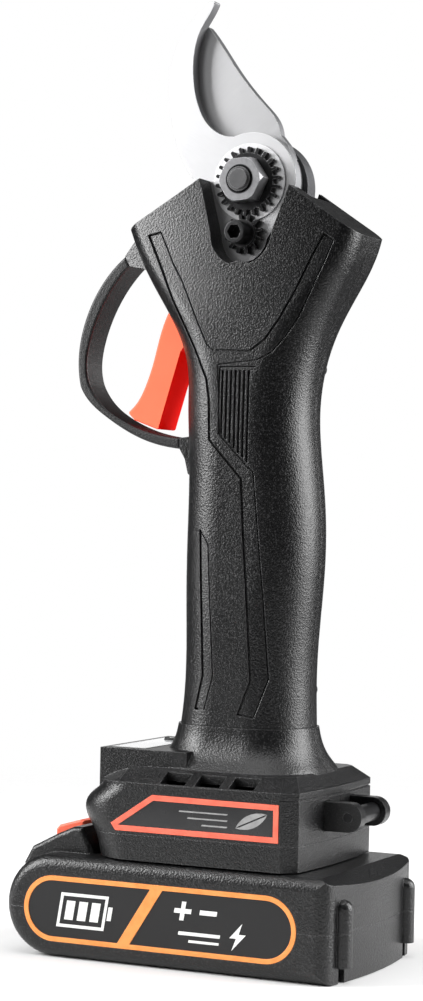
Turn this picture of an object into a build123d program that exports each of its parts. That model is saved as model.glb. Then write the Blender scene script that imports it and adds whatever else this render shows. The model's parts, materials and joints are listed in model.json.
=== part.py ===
from build123d import *
import math
import os

os.makedirs("parts", exist_ok=True)

# Battery-powered pruner.  Millimetres, +Z up.  The origin is the centre of the battery's underside.
# -X is the side of the trigger and guard, and the blades open towards +X, turning about Y.

# Battery pack: five round cells lie across the pack, side by side along X
CELL_R = 9.1
CELL_LENGTH = 65.0
CELL_COUNT = 5
CELL_PITCH = 18.8
CELL_Z = 12.8
PACK_FRONT = -60.0
PACK_HALF = 36.5
PACK_TOP = 33.0
PACK_PARTING = 15.6
PACK_WALL = 2.2
REAR_BOW = 2.7
RAIL_X = (-24.0, 34.0)
RAIL_STEM = 11.0
RAIL_HEAD = 14.5
RAIL_STEP_Z = 36.4
RAIL_TOP_Z = 39.6
TERMINAL_Y = (-7.2, 0.0, 7.2)
PACK_CORNER = 55.6
SIDE_ROUND = 4.2
HUMP_HALF = 27.0
LATCH_X = (-54.6, -44.0)
LATCH_HALF = 12.0
TONGUE_END = -31.0
SPRING_X = -49.4
SPRING_Z = (25.2, 34.6)
BOSS_X = 56.5
BOSS_Y = 27.0
BOSS_R = 3.1
LABEL_ENDS = (-41.6, 34.0)
LABEL_Z = 15.9
LABEL_R = 10.8
# X, Y and height of the head's seat of each screw under the pack
PACK_SCREWS = ((-50.8, -24.5, 6.0), (-50.8, 24.5, 6.0), (50.6, -28.0, 4.0), (50.6, 28.0, 4.0))

# Foot of the housing, which carries the pack
FOOT_REAR = 42.0
FOOT_HALF = 34.1
FOOT_BOTTOM = 33.4
RAIL_FRAME_TOP = 41.6
FOOT_SHOULDER = 58.3
FOOT_SHELF = 62.6
NECK_Z = 76.4
DISPLAY_FRONT = -31.5
DISPLAY_HALF = 25.0
DISPLAY_TOP = 68.2
FRONT_CORNER_R = 15.0
WINDOW_X = (-29.6, -16.6)
WINDOW_HALF = 22.0
BUTTON_PLACE = (-23.1, 13.0)
BUTTON_R = 3.6
VENT_PLACES = (-0.8, 11.3, 23.4)
BADGE = ((-22.4, 45.0), (-20.6, 42.6), (37.0, 42.6), (37.0, 54.8), (-7.6, 55.0))
# Height and front X of the foot's cheek, which leans back below its middle and domes over above it
CHEEK_FRONT = ((32.4, -30.6), (37.7, -32.6), (42.8, -34.9), (46.4, -37.0), (49.0, -37.6), (53.0, -35.8),
               (58.3, -31.0))
# Height, front X, half width and corner radius of the dome on the cheek
CHEEK_DOME = ((58.3, -31.0, 34.1, 15.0), (60.0, -28.8, 31.4, 14.0), (61.6, -26.0, 28.4, 13.0),
              (62.8, -22.0, 25.6, 12.0))

# Handle and forked head
WALL = 2.4
PIVOT_X = 9.05
PIVOT_Z = 254.5
HORN_REAR = ((27.0, 251.8), (50.6, 235.6))
HORN_FRONT = ((-7.0, 254.4), (-32.6, 238.8))
NOTCH_CENTRE = (10.1, 237.2)
NOTCH_R = 10.9
LINE_HALF = 0.32
LINE_DEPTH = 0.95
# Screws of the handle, as X and Z of each axis
SCREW_PLACES = ((-24.0, 232.0), (40.0, 229.5), (27.4, 194.0), (27.2, 122.0), (27.0, 88.0), (-5.6, 88.0))
SCREW_R = 1.4
SCREW_HEAD_R = 2.6

# Cutting head, as layers along Y from the near side to the far side
NUT_Y = (-14.0, -8.2)
LOCK_DISC_Y = (-8.2, -6.1)
WASHER_Y = (-6.1, -5.5)
HOOK_Y = (-5.5, -1.3)
BLADE_Y = (-1.2, 2.4)
FRAME_Y = (2.6, 9.0)
BACK_WALL_Y = (9.0, 11.2)
NEAR_RIM_Y = -5.6
FAR_RIM_Y = 11.35
BOLT_R = 4.0
BUSH_R = 5.4
BLADE_HUB_R = 15.4
HUB_PLAY = 0.05
LOCK_X = 8.2
LOCK_Z = PIVOT_Z - 17.2
LOCK_LEAN = math.degrees(math.atan2(PIVOT_X - LOCK_X, PIVOT_Z - LOCK_Z))

# Gear train from the motor to the blade
PRESSURE = math.radians(20)
SECTOR_TEETH = 56
PINION_TEETH = 10
PINION_Z = PIVOT_Z - (SECTOR_TEETH + PINION_TEETH) / 2
BEVEL_TEETH = 24
BEVEL_PINION_TEETH = 12
BEVEL_D = BEVEL_PINION_TEETH / 2
BEVEL_PINION_D = BEVEL_TEETH / 2
BEVEL_KEEP = 0.62
PLANET_MODULE = 0.7
SUN_TEETH = 12
RING_TEETH = 36
PLANET_R = PLANET_MODULE * (SUN_TEETH + SUN_TEETH) / 2
GEAR_Z = (187.0, 193.6)
CARRIER_Z = (194.4, 198.4)
RING_R = 14.7
MOTOR_R = 13.85
MOTOR_Z = (131.0, 183.0)
SHAFT_R = 1.6
BOARD_Z = (97.0, 98.6)

# Trigger, guard, buttons and sockets
TRIGGER_PIN = (-13.5, 212.0)
TRIGGER_HALF = 6.5
GUARD_HALF = 6.0
LUG_Z = 49.6
LUG_X = 51.4
EAR_Y = (8.4, 12.6)
EAR_R = 4.7


def block(x0, x1, y0, y1, z0, z1):
    return Pos((x0 + x1) / 2, (y0 + y1) / 2, (z0 + z1) / 2) * Box(x1 - x0, y1 - y0, z1 - z0)


def rod_x(y, z, radius, x0, x1):
    return Pos((x0 + x1) / 2, y, z) * Rot(0, 90, 0) * Cylinder(radius, x1 - x0)


def rod_y(x, z, radius, y0, y1):
    return Pos(x, (y0 + y1) / 2, z) * Rot(90, 0, 0) * Cylinder(radius, y1 - y0)


def rod_z(x, y, radius, z0, z1):
    return Pos(x, y, (z0 + z1) / 2) * Cylinder(radius, z1 - z0)


def prism(profile, y0, y1):
    """Solid between two Y planes from a profile drawn in X and Z."""
    return Plane.XZ.offset(-y1) * extrude(profile, y1 - y0)


def slab(profile, z0, z1):
    """Solid between two heights from a profile drawn in X and Y."""
    return Pos(0, 0, z0) * extrude(profile, z1 - z0)


def polygon(*points):
    return make_face(Polyline(*points, close=True))


def outline_face(*pieces):
    return make_face([edge for piece in pieces for edge in piece.edges()])


def mirrored(shape):
    return mirror(shape, Plane.XZ)


def both_sides(shape):
    """A shape on the near side and its mirror image on the far side, as separate solids."""
    return Compound(children=[*solids_of(shape), *solids_of(mirrored(shape))])


def solids_of(shape):
    return [Solid(part.wrapped) for part in shape.solids()]


def group(*shapes):
    return Compound(children=[part for shape in shapes for part in solids_of(shape)])


def soft_edges(shape, edges, radius):
    """Round the edges that take the radius, and leave the rest sharp."""
    limit = radius
    while limit > radius / 5:
        try:
            rounded = fillet(edges, limit)
            if rounded.is_valid and len(rounded.solids()) == len(shape.solids()):
                return rounded
        except Exception:
            pass
        limit *= 0.6
    return shape


# ---------------------------------------------------------------- gear outlines

def involute(angle):
    return math.tan(angle) - angle


def half_tooth(radius, pitch_radius, half_at_pitch):
    """Half of a tooth's angle at a radius; below the base circle the flank is radial."""
    pressure = math.acos(min(1.0, pitch_radius * math.cos(PRESSURE) / radius))
    return half_at_pitch + involute(PRESSURE) - involute(pressure)


def spur_points(pitch_radius, teeth, tip, root, play, first=0.0, count=None):
    """Outline of straight teeth: flank points up one side and down the other, tooth after tooth."""
    half = math.pi / 2 / teeth - play / 2 / pitch_radius
    low = max(root, pitch_radius * math.cos(PRESSURE))
    radii = [low + (tip - low) * step / 4 for step in range(5)]
    if low > root:
        radii.insert(0, root)
    points = []
    for tooth in range(count or teeth):
        centre = first + 2 * math.pi * tooth / teeth
        flank = [(radius, half_tooth(radius, pitch_radius, half)) for radius in radii]
        points += [(r * math.cos(centre - a), r * math.sin(centre - a)) for r, a in flank]
        points += [(r * math.cos(centre + a), r * math.sin(centre + a)) for r, a in reversed(flank)]
    return points


def spur_face(*values, **options):
    return polygon(*spur_points(*values, **options))


def bevel_face(teeth, mate, distance, play, first):
    """Tooth outline of a bevel gear on a plane at a distance from the common apex."""
    cone = math.atan2(teeth, mate)
    reach = math.hypot(teeth, mate) / 2
    pitch_radius = teeth / 2 / math.cos(cone)
    virtual = pitch_radius * 2
    half = math.pi / 2 / virtual - play / 2 / pitch_radius
    points = []
    for tooth in range(teeth):
        centre = first + 2 * math.pi * tooth / teeth
        flank = []
        for height in (-0.95, -0.5, 0.0, 0.4, 0.7):
            angle = cone + height / reach
            radius = pitch_radius + height
            arc = half_tooth(radius, pitch_radius, half) * radius / reach / math.sin(angle)
            flank.append((distance * math.tan(angle), arc))
        points += [(r * math.cos(centre - a), r * math.sin(centre - a)) for r, a in flank]
        points += [(r * math.cos(centre + a), r * math.sin(centre + a)) for r, a in reversed(flank)]
    return polygon(*points)


# ---------------------------------------------------------------- handle and forked head

# Height, front X, rear X, half width and corner radius of the handle's outer skin
HANDLE_SECTIONS = (
    (76.4, -11.9, 32.7, 18.0, 16.4),
    (92.0, -10.7, 32.4, 17.8, 16.4),
    (120.0, -11.0, 33.9, 18.0, 16.4),
    (140.0, -11.0, 34.5, 18.0, 16.4),
    (162.0, -11.0, 32.7, 18.0, 16.4),
    (182.0, -11.6, 31.4, 17.8, 15.6),
    (202.0, -13.9, 35.0, 17.0, 13.0),
    (214.0, -20.0, 40.4, 16.0, 10.5),
    (228.0, -27.8, 47.6, 14.8, 7.5),
    (240.0, -32.8, 51.0, 14.0, 6.0),
    (258.0, -38.0, 55.0, 14.0, 6.0),
)


def handle_solid(inset):
    sections = [
        Pos((front + rear) / 2, 0, z)
        * RectangleRounded(rear - front - 2 * inset, 2 * (half - inset), radius - inset * 0.9)
        for z, front, rear, half, radius in HANDLE_SECTIONS
    ]
    return loft(sections)


def above_horns(drop):
    """Everything above the two sloping horn tops, lowered by a wall thickness."""
    (x0, z0), (x1, z1) = HORN_FRONT
    (x2, z2), (x3, z3) = HORN_REAR
    front_slope = (z0 - z1) / (x0 - x1)
    rear_slope = (z3 - z2) / (x3 - x2)
    outline = (
        (-60, z1 + front_slope * (-60 - x1) - drop),
        (PIVOT_X, z0 + front_slope * (PIVOT_X - x0) - drop),
        (PIVOT_X, z2 + rear_slope * (PIVOT_X - x2) - drop),
        (80, z3 + rear_slope * (80 - x3) - drop),
        (80, 290),
        (-60, 290),
    )
    return prism(polygon(*outline), -30, 30)


def notch_face(grow):
    x, z = NOTCH_CENTRE
    radius = NOTCH_R + grow
    sides = polygon((x - radius - 8.4, 270), (x - radius, z), (x + radius, z), (x + radius + 12.2, 270))
    return sides + Pos(x, z) * Circle(radius)


def band_face():
    """Sunken band of the handle's side: two arms from the horns, and a long stepped leg."""
    return polygon(
        (-23.4, 236.9), (-18.4, 226.6), (-13.4, 215.3), (-4.8, 199.4), (0.2, 189.4), (1.5, 182.4),
        (1.9, 169.5), (13.8, 156.8), (14.8, 140.9), (16.9, 115.7), (18.5, 91.7), (14.4, 80.8),
        (19.8, 80.0), (24.0, 92.4), (22.1, 119.6), (19.9, 141.0), (18.0, 159.1), (5.7, 171.2),
        (5.2, 182.4), (4.3, 193.9), (17.9, 195.2), (23.1, 197.8), (27.6, 203.1), (32.0, 209.9),
        (36.0, 218.3), (40.2, 227.2), (42.8, 233.5), (39.4, 235.7), (35.5, 228.4), (30.3, 217.4),
        (25.2, 208.4), (20.7, 202.1), (15.5, 198.3), (2.4, 198.7), (0.0, 200.6), (-4.2, 208.9),
        (-10.4, 221.8), (-14.0, 227.6), (-19.0, 237.9),
    )


def strip_face():
    """Thin sunken strip along the front of the grip."""
    return polygon((-1.0, 140.1), (2.4, 135.4), (3.2, 122.7), (5.1, 92.9), (2.1, 81.6),
                   (-1.5, 81.8), (1.2, 92.8), (-0.1, 121.1))


def rib_grooves():
    """Fine upright grooves of the thumb panel, cut off along a slope at the bottom."""
    faces = []
    for count in range(7):
        x = 6.4 + 1.55 * count
        bottom = 171.6 - (x - 5.7) * 0.98
        left, right = x - 0.4, x + 0.4
        faces.append(polygon((left, 192.0), (left, bottom + 0.4), (right, bottom - 0.4), (right, 192.0)))
    return faces


def screw_reach(x, z):
    """Half width of the skin at a screw, found from the handle's sections."""
    below = max(row for row in HANDLE_SECTIONS if row[0] <= z)
    over = min(row for row in HANDLE_SECTIONS if row[0] > z)
    share = (z - below[0]) / (over[0] - below[0])
    front, rear, half, radius = (a + (b - a) * share for a, b in zip(below[1:], over[1:]))
    edge = max(0.0, radius - min(x - front, rear - x))
    return half - radius + math.sqrt(max(0.0, radius ** 2 - edge ** 2))


def thumb_line():
    """Line that frames the thumb panel at its front, its top and along the slope."""
    return polygon((5.0, 193.4), (18.2, 193.4), (18.2, 192.9), (5.6, 192.9), (5.6, 171.6), (16.9, 160.2),
                   (16.4, 159.8), (5.0, 171.3))


def relieved(shell):
    """Sink the bands and the thumb grooves into both sides, with a finer line cut round each."""
    shallow, deep = handle_solid(0.45), handle_solid(LINE_DEPTH)
    lines = [offset(band, LINE_HALF) - offset(band, -LINE_HALF) for band in (band_face(), strip_face())]
    reliefs = [(band_face(), shallow), (strip_face(), shallow)]
    reliefs += [(line, deep) for line in [*lines, thumb_line(), *rib_grooves()]]
    for relief, skin in reliefs:
        cut = prism(relief, -20, -8) - skin
        shell = shell - cut - mirrored(cut)
    return shell


def housing_halves():
    notch = prism(notch_face(0), -30, NEAR_RIM_Y) + prism(notch_face(0), FAR_RIM_Y, 30)
    rim = prism(notch_face(WALL), -30, NEAR_RIM_Y) + prism(notch_face(WALL), FAR_RIM_Y, 30)
    outer = handle_solid(0) - above_horns(0) - notch
    outer = soft_edges(outer, outer.edges().filter_by(lambda e: e.center().Z > 236), 1.2)
    cavity = handle_solid(WALL) - above_horns(WALL) - rim
    shell = outer - cavity
    shell -= rod_y(10.6, 251.0, 20.6, NEAR_RIM_Y, FAR_RIM_Y)

    ledge = prism(notch_face(0.4), -5.4, -3.8) & block(-20, 40, -6, -3, 200, 249)
    ledge -= prism(offset(hook_face(), 0.4), -6, -3)
    shell = relieved(shell + ledge)

    shell -= block(-34, -8.6, -TRIGGER_HALF - 0.4, TRIGGER_HALF + 0.4, 190.9, 212.9)
    upper = polygon((-27, 238), (-31.4, 238), (-36.4, 231.3), (-34.6, 227.9), (-25, 226))
    lower = polygon((-14.4, 170.4), (-14.4, 166.7), (-12.4, 163.4),
                    (-11.2, 158.6), (-9.4, 157), (-9.4, 171))
    for stub in (upper, lower):
        shell += prism(stub, -GUARD_HALF, GUARD_HALF) - handle_solid(WALL / 2)

    room = handle_solid(WALL - 0.3) - above_horns(WALL - 0.3)
    for z, radius in ((138, MOTOR_R), (172, MOTOR_R), (188.5, RING_R)):
        rib = room & block(-40, 60, -20, 20, z, z + 2.2)
        shell += rib - rod_z(PIVOT_X, 0, radius + 0.1, z - 1, z + 4)
    for x, z in SCREW_PLACES:
        shell += rod_y(x, z, 3.2, -20, 20) & room
    seat = rod_y(PIVOT_X, PINION_Z, 6.6, -20, -4.6) & room
    shell = shell + seat - rod_y(PIVOT_X, PINION_Z, 5.0, -7.4, 0) - rod_y(PIVOT_X, PINION_Z, 3.4, -8.4, 0)
    for side in (-1, 1):
        post = rod_y(*TRIGGER_PIN, 3.0, *sorted((side * (TRIGGER_HALF + 0.8), side * 20)))
        shell += post & room
    shell -= rod_y(*TRIGGER_PIN, 1.5, -9.6, 9.6)
    for x, z in SCREW_PLACES:
        reach = screw_reach(x, z)
        shell -= rod_y(x, z, SCREW_R, -reach + 3, 20) + rod_y(x, z, SCREW_HEAD_R, reach - 3.4, 22)
    near = shell & block(-80, 80, -40, 0, 60, 300)
    far = shell & block(-80, 80, 0, 40, 60, 300)
    return near, far


def housing_screws():
    screws = []
    for x, z in SCREW_PLACES:
        reach = screw_reach(x, z)
        head = rod_y(x, z, SCREW_HEAD_R - 0.1, reach - 3.4, reach - 1.4)
        screw = head + rod_y(x, z, SCREW_R, -reach + 3.4, reach - 3.4)
        screws.append(screw - rod_y(x, z, 1.0, reach - 2.6, reach))
    return group(*screws)


def trigger_guard():
    outer = Spline((-36.4, 231.3), (-44.2, 223.4), (-50.7, 211.5), (-53.5, 199.4), (-52.6, 187.6))
    chin = Spline((-52.6, 187.6), (-43.0, 177.6), (-31.4, 171.0), (-14.4, 166.7),
                  tangents=[(0.45, -1), (1, -0.1)])
    back = Spline((-14.4, 170.4), (-23.0, 171.6), (-37.6, 177.0), (-48.9, 188.2),
                  tangents=[(-1, 0.1), (-0.5, 1)])
    inner = Spline((-48.9, 188.2), (-50.2, 194.4), (-49.0, 203.3), (-45.3, 213.2), (-39.6, 222.4),
                   (-34.6, 227.9))
    face = outline_face(outer, chin, Line(chin @ 1, back @ 0), back, inner, Line(inner @ 1, outer @ 0))
    strap = prism(face, -GUARD_HALF, GUARD_HALF)
    return soft_edges(strap, strap.faces().filter_by(Axis.Y).edges(), 0.9)


# ---------------------------------------------------------------- cutting head

def hook_face():
    """Fixed hook: a crescent over the pivot hub, and a tail for the lock gear."""
    outer = Spline((-6.6, 315.0), (-11.4, 310.2), (-16.4, 304.6), (-19.8, 297.4), (-21.0, 288.0),
                   (-20.2, 277.8), (-17.6, 267.4), (-13.2, 258.6), (-7.6, 251.6))
    inner = Spline((-5.2, 314.4), (-7.5, 310.2), (-10.6, 305.2), (-12.3, 299.4), (-12.7, 292.3),
                   (-11.9, 285.4), (-10.1, 279.6), (-7.2, 274.6), (-3.0, 271.2), (2.5, 269.8))
    tip = ThreePointArc(inner @ 0, (-5.6, 315.2), outer @ 0)
    centre = (PIVOT_X, PIVOT_Z)
    crescent = outline_face(outer, Line(outer @ 1, centre), Line(centre, inner @ 1), inner, tip)
    hub = Pos(PIVOT_X, PIVOT_Z) * Circle(16.4)
    tail = polygon((-6.6, 250.6), (-2.6, 235.8), (15.6, 235.8), (24.2, 249.0))
    return crescent + hub + tail + Pos(6.6, 237.2) * Circle(9.1)


def hook_blade():
    plate = prism(hook_face(), *HOOK_Y)
    plate -= rod_y(PIVOT_X, PIVOT_Z, BOLT_R + HUB_PLAY, -8, 0)
    plate -= rod_y(LOCK_X, LOCK_Z, 2.0 + HUB_PLAY, -8, 0)
    return plate


def cutting_blade():
    """Moving blade: curved edge and straight back, a round hub and a toothed tail."""
    back = Spline((-9.4, 307.6), (-6.2, 303.6), (-1.6, 297.0), (3.0, 290.6), (7.2, 285.5), (11.6, 280.7),
                  (15.4, 276.4), (17.7, 270.3))
    edge = Spline((-9.4, 307.6), (-12.9, 300.6), (-14.2, 292.6), (-13.4, 285.0), (-10.9, 278.0),
                  (-7.4, 272.2), (-4.6, 266.0))
    centre = (PIVOT_X, PIVOT_Z)
    fin = outline_face(back, Line(back @ 1, centre), Line(centre, edge @ 1), edge)
    fin += polygon(centre, (17.7, 270.3), (20.4, 267.0), (22.6, 262.4))
    pitch = SECTOR_TEETH / 2
    first = math.radians(-90) - 2 * math.pi / SECTOR_TEETH
    teeth = spur_points(pitch, SECTOR_TEETH, pitch + 0.6, pitch - 1.35, 0.1, first, 12)
    sector = Pos(*centre) * polygon((0, 0), *teeth, (13.4, -4.0))
    plate = prism(fin + sector + Pos(*centre) * Circle(BLADE_HUB_R), *BLADE_Y)
    plate -= rod_y(*centre, BUSH_R + 0.05, -4, 4)
    return plate


def hex_nut():
    body = prism(Pos(PIVOT_X, PIVOT_Z) * RegularPolygon(7.95, 6, rotation=4), *NUT_Y)
    cone = Pos(PIVOT_X, NUT_Y[0] + 4.0, PIVOT_Z) * Rot(90, 0, 0) * Cone(11.2, 7.2, 8.0)
    return (body & cone) - rod_y(PIVOT_X, PIVOT_Z, BOLT_R, -20, 0)


def pivot_bolt():
    shank = rod_y(PIVOT_X, PIVOT_Z, BOLT_R, -14.6, 9.0) + rod_y(PIVOT_X, PIVOT_Z, 3.2, -15.2, -14.6)
    head = prism(Pos(PIVOT_X, PIVOT_Z) * RegularPolygon(7.5, 6), 9.0, 13.2)
    return shank + head + rod_y(PIVOT_X, PIVOT_Z, 8.4, 9.0, 10.0)


def rounded_teeth(x, z, teeth, tip, root, turn):
    """Disc with round-ended teeth between two facing half-round gaps."""
    width = math.pi * (tip + root) / 2 / teeth
    outline = Circle(root)
    for tooth in range(teeth):
        outline += Rot(0, 0, turn + 360 * tooth / teeth) * (
            Pos((tip + root) / 2 - 0.6, 0) * Rectangle(tip - root, width * 0.78)
            + Pos(tip - width * 0.39, 0) * Circle(width * 0.39))
    return prism(Pos(x, z) * outline, *LOCK_DISC_Y)


def lock_disc():
    disc = rounded_teeth(PIVOT_X, PIVOT_Z, 22, 11.4, 9.4, -90 - LOCK_LEAN)
    return disc - rod_y(PIVOT_X, PIVOT_Z, BOLT_R, -9, -5)


def lock_gear():
    gear = rounded_teeth(LOCK_X, LOCK_Z, 12, 6.6, 4.7, 90 - LOCK_LEAN - 15)
    return gear + rod_y(LOCK_X, LOCK_Z, 4.6, -9.4, -8.2) - rod_y(LOCK_X, LOCK_Z, 2.0, -20, 0)


def lock_screw():
    head = rod_y(LOCK_X, LOCK_Z, 3.7, -15.4, -9.4)
    head = soft_edges(head, head.edges().filter_by(lambda e: e.center().Y < -15), 0.5)
    socket = prism(Pos(LOCK_X, LOCK_Z) * RegularPolygon(2.5, 6), -16, -11.6)
    return head - socket + rod_y(LOCK_X, LOCK_Z, 2.0, -9.4, -1.7)


def head_frame():
    """Cast plate behind the blade, stepped back round the bevel gear, down to the gearbox flange."""
    skirt = polygon((-8, 237), (-7.4, 252), (26.1, 252), (26.1, 237))
    plate = prism(Pos(9.3, 253.2) * Circle(16.9) + skirt, *FRAME_Y)
    plate -= prism(polygon((-20, 200), (40, 200), (40, 236.6), (-20, 236.6)), 0, FRAME_Y[1] - 0.05)
    wall = prism(polygon((-8, 246), (26, 246), (22, 201), (-4, 201)), *BACK_WALL_Y)
    flange = rod_z(PIVOT_X, 0, 13.6, 201.0, 205.4)
    frame = plate + wall + flange
    frame -= rod_y(PIVOT_X, PIVOT_Z, BOLT_R + HUB_PLAY, 0, 20)
    frame -= rod_z(PIVOT_X, 0, 6.6, 200, 206)
    frame -= rod_y(PIVOT_X, PINION_Z, 5.0, 0, 20)
    return frame


# ---------------------------------------------------------------- gear train

def drive_pinion():
    """Output shaft with the pinion that drives the blade's tail cut on it."""
    first = math.radians(90 + 180 / PINION_TEETH)
    pitch = PINION_TEETH / 2
    teeth = spur_face(pitch, PINION_TEETH, pitch + 1.0, pitch - 0.9, 0.1, first)
    shaft = rod_y(PIVOT_X, PINION_Z, 3.0, -7.6, BACK_WALL_Y[1])
    return prism(Pos(PIVOT_X, PINION_Z) * teeth, *BLADE_Y) + shaft


def bevel_gear():
    wide, narrow = BEVEL_D, BEVEL_D * BEVEL_KEEP
    start = math.radians(-90)
    rim = Plane.XZ.offset(-wide) * bevel_face(BEVEL_TEETH, BEVEL_PINION_TEETH, wide, 0.2, start)
    core = Plane.XZ.offset(-narrow) * bevel_face(BEVEL_TEETH, BEVEL_PINION_TEETH, narrow, 0.2, start)
    gear = Pos(PIVOT_X, 0, PINION_Z) * loft([rim, core], ruled=True)
    gear += rod_y(PIVOT_X, PINION_Z, 9.6, wide, wide + 2.2)
    return gear - rod_y(PIVOT_X, PINION_Z, 3.0, 0, 12)


def bevel_pinion():
    wide, narrow = BEVEL_PINION_D, BEVEL_PINION_D * BEVEL_KEEP
    start = math.radians(90 + 180 / BEVEL_PINION_TEETH)
    rim = Pos(0, 0, -wide) * bevel_face(BEVEL_PINION_TEETH, BEVEL_TEETH, wide, 0.2, start)
    core = Pos(0, 0, -narrow) * bevel_face(BEVEL_PINION_TEETH, BEVEL_TEETH, narrow, 0.2, start)
    gear = Pos(PIVOT_X, 0, PINION_Z) * loft([rim, core], ruled=True)
    collar = rod_z(PIVOT_X, 0, 5.0, 207.6, PINION_Z - wide)
    return gear + collar + rod_z(PIVOT_X, 0, 3.0, CARRIER_Z[0], 207.6)


def shaft_bearings():
    """Ball bearings of the output shaft and of the bevel pinion, as closed rings."""
    near = rod_y(PIVOT_X, PINION_Z, 5.0, -7.4, -4.6) - rod_y(PIVOT_X, PINION_Z, 3.02, -8, -4)
    far = rod_y(PIVOT_X, PINION_Z, 5.0, 9.0, 11.2) - rod_y(PIVOT_X, PINION_Z, 3.02, 8, 12)
    drive = rod_z(PIVOT_X, 0, 6.6, 201.2, 205.2) - rod_z(PIVOT_X, 0, 3.02, 200, 206)
    return group(near, far, drive)


def planet_places():
    return [math.radians(90 + 120 * index) for index in range(3)]


def ring_gear():
    pitch = PLANET_MODULE * RING_TEETH / 2
    first = math.radians(90 + 180 / RING_TEETH)
    hole = spur_face(pitch, RING_TEETH, pitch + 0.75, pitch - 0.4, -0.12, first)
    ring = rod_z(PIVOT_X, 0, RING_R, 185.2, 199.4) - slab(Pos(PIVOT_X, 0) * hole, 185, 194.2)
    ring -= rod_z(PIVOT_X, 0, 12.6, 194.2, 200)
    lid = rod_z(PIVOT_X, 0, RING_R, 199.4, 200.8) - rod_z(PIVOT_X, 0, 4.2, 199, 201)
    return ring + lid


def planet_gear(angle):
    pitch = PLANET_MODULE * SUN_TEETH / 2
    inner = angle + math.pi
    face = spur_face(pitch, SUN_TEETH, pitch + 0.54, pitch - 0.78, 0.12, inner + math.pi / SUN_TEETH)
    x, y = PIVOT_X + PLANET_R * math.cos(angle), PLANET_R * math.sin(angle)
    return slab(Pos(x, y) * face, *GEAR_Z) - rod_z(x, y, 1.54, 180, 200)


def planet_carrier():
    disc = rod_z(PIVOT_X, 0, 11.6, *CARRIER_Z) - rod_z(PIVOT_X, 0, 3.0, 190, 200)
    for angle in planet_places():
        disc -= rod_z(PIVOT_X + PLANET_R * math.cos(angle), PLANET_R * math.sin(angle), 1.5, 190, 200)
    return disc


def planet_pins():
    pins = []
    for angle in planet_places():
        x, y = PIVOT_X + PLANET_R * math.cos(angle), PLANET_R * math.sin(angle)
        pins.append(rod_z(x, y, 1.5, GEAR_Z[0] - 0.4, CARRIER_Z[1]))
    return group(*pins)


def sun_gear():
    pitch = PLANET_MODULE * SUN_TEETH / 2
    face = spur_face(pitch, SUN_TEETH, pitch + 0.54, pitch - 0.78, 0.12, math.radians(90))
    return slab(Pos(PIVOT_X, 0) * face, *GEAR_Z) - rod_z(PIVOT_X, 0, SHAFT_R, 180, 200)


# ---------------------------------------------------------------- motor and electronics

def motor_can():
    can = rod_z(PIVOT_X, 0, MOTOR_R, *MOTOR_Z)
    can -= rod_z(PIVOT_X, 0, MOTOR_R - 1.2, MOTOR_Z[0] - 1, MOTOR_Z[1] - 1.4)
    can += rod_z(PIVOT_X, 0, 5.0, MOTOR_Z[1], MOTOR_Z[1] + 2.0)
    can -= rod_z(PIVOT_X, 0, SHAFT_R + 0.05, 125, 190)
    for turn in range(4):
        slot = Pos(PIVOT_X, 0, 176) * Rot(0, 0, 45 + 90 * turn) * Pos(MOTOR_R, 0, 0) * Box(4, 9, 5)
        can -= slot
    return can


def motor_magnets():
    tube = rod_z(PIVOT_X, 0, MOTOR_R - 1.2, 140, 170) - rod_z(PIVOT_X, 0, 10.6, 130, 180)
    gap = block(PIVOT_X - 20, PIVOT_X + 20, -3, 3, 130, 180)
    return tube - gap


def motor_end_cap():
    cap = rod_z(PIVOT_X, 0, MOTOR_R - 1.25, 131, 136.6) + rod_z(PIVOT_X, 0, MOTOR_R - 0.2, 128.2, 131)
    cap += rod_z(PIVOT_X, 0, 4.4, 125.4, 128.2)
    return cap - rod_z(PIVOT_X, 0, SHAFT_R + 0.05, 120, 140)


def motor_rotor():
    shaft = rod_z(PIVOT_X, 0, SHAFT_R, 126.0, GEAR_Z[1] + 0.2)
    core = rod_z(PIVOT_X, 0, 10.2, 142, 168)
    for turn in range(8):
        core -= Pos(PIVOT_X, 0, 155) * Rot(0, 0, 45 * turn) * Pos(9.4, 0, 0) * Box(5.2, 1.5, 30)
    commutator = rod_z(PIVOT_X, 0, 4.2, 137.2, 141.2)
    return shaft + core + commutator


def motor_leads():
    """Two stiff leads from the motor's tabs down to the control board."""
    wires = []
    for y in (-6, 6):
        path = FilletPolyline((PIVOT_X + 6, y, 128.2), (PIVOT_X + 6, y, 120), (PIVOT_X + 3, y * 1.1, 109),
                              (PIVOT_X + 3, y * 1.1, BOARD_Z[1]), radius=4)
        wires.append(sweep(Plane(path @ 0, z_dir=path % 0) * Circle(1.1), path=path))
    return group(*wires)


def control_board():
    low, high = BOARD_Z
    board = block(-4, 25, -10.5, 10.5, low, high)
    chips = ((0, -6, 5, 5, 3), (2, 6, 6, 4, 2.2), (20, -7, 7, 5, 1.8), (21, 5, 4, 8, 5))
    for x, y, width, depth, height in chips:
        board += block(x - width / 2, x + width / 2, y - depth / 2, y + depth / 2, high, high + height)
    return board


def trigger_sensor():
    board = block(-7.9, -6.8, -4.4, 4.4, 175.6, 187.4)
    return board + block(-6.8, -6.0, -1.8, 1.8, 182, 185)


# ---------------------------------------------------------------- foot of the housing

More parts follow.
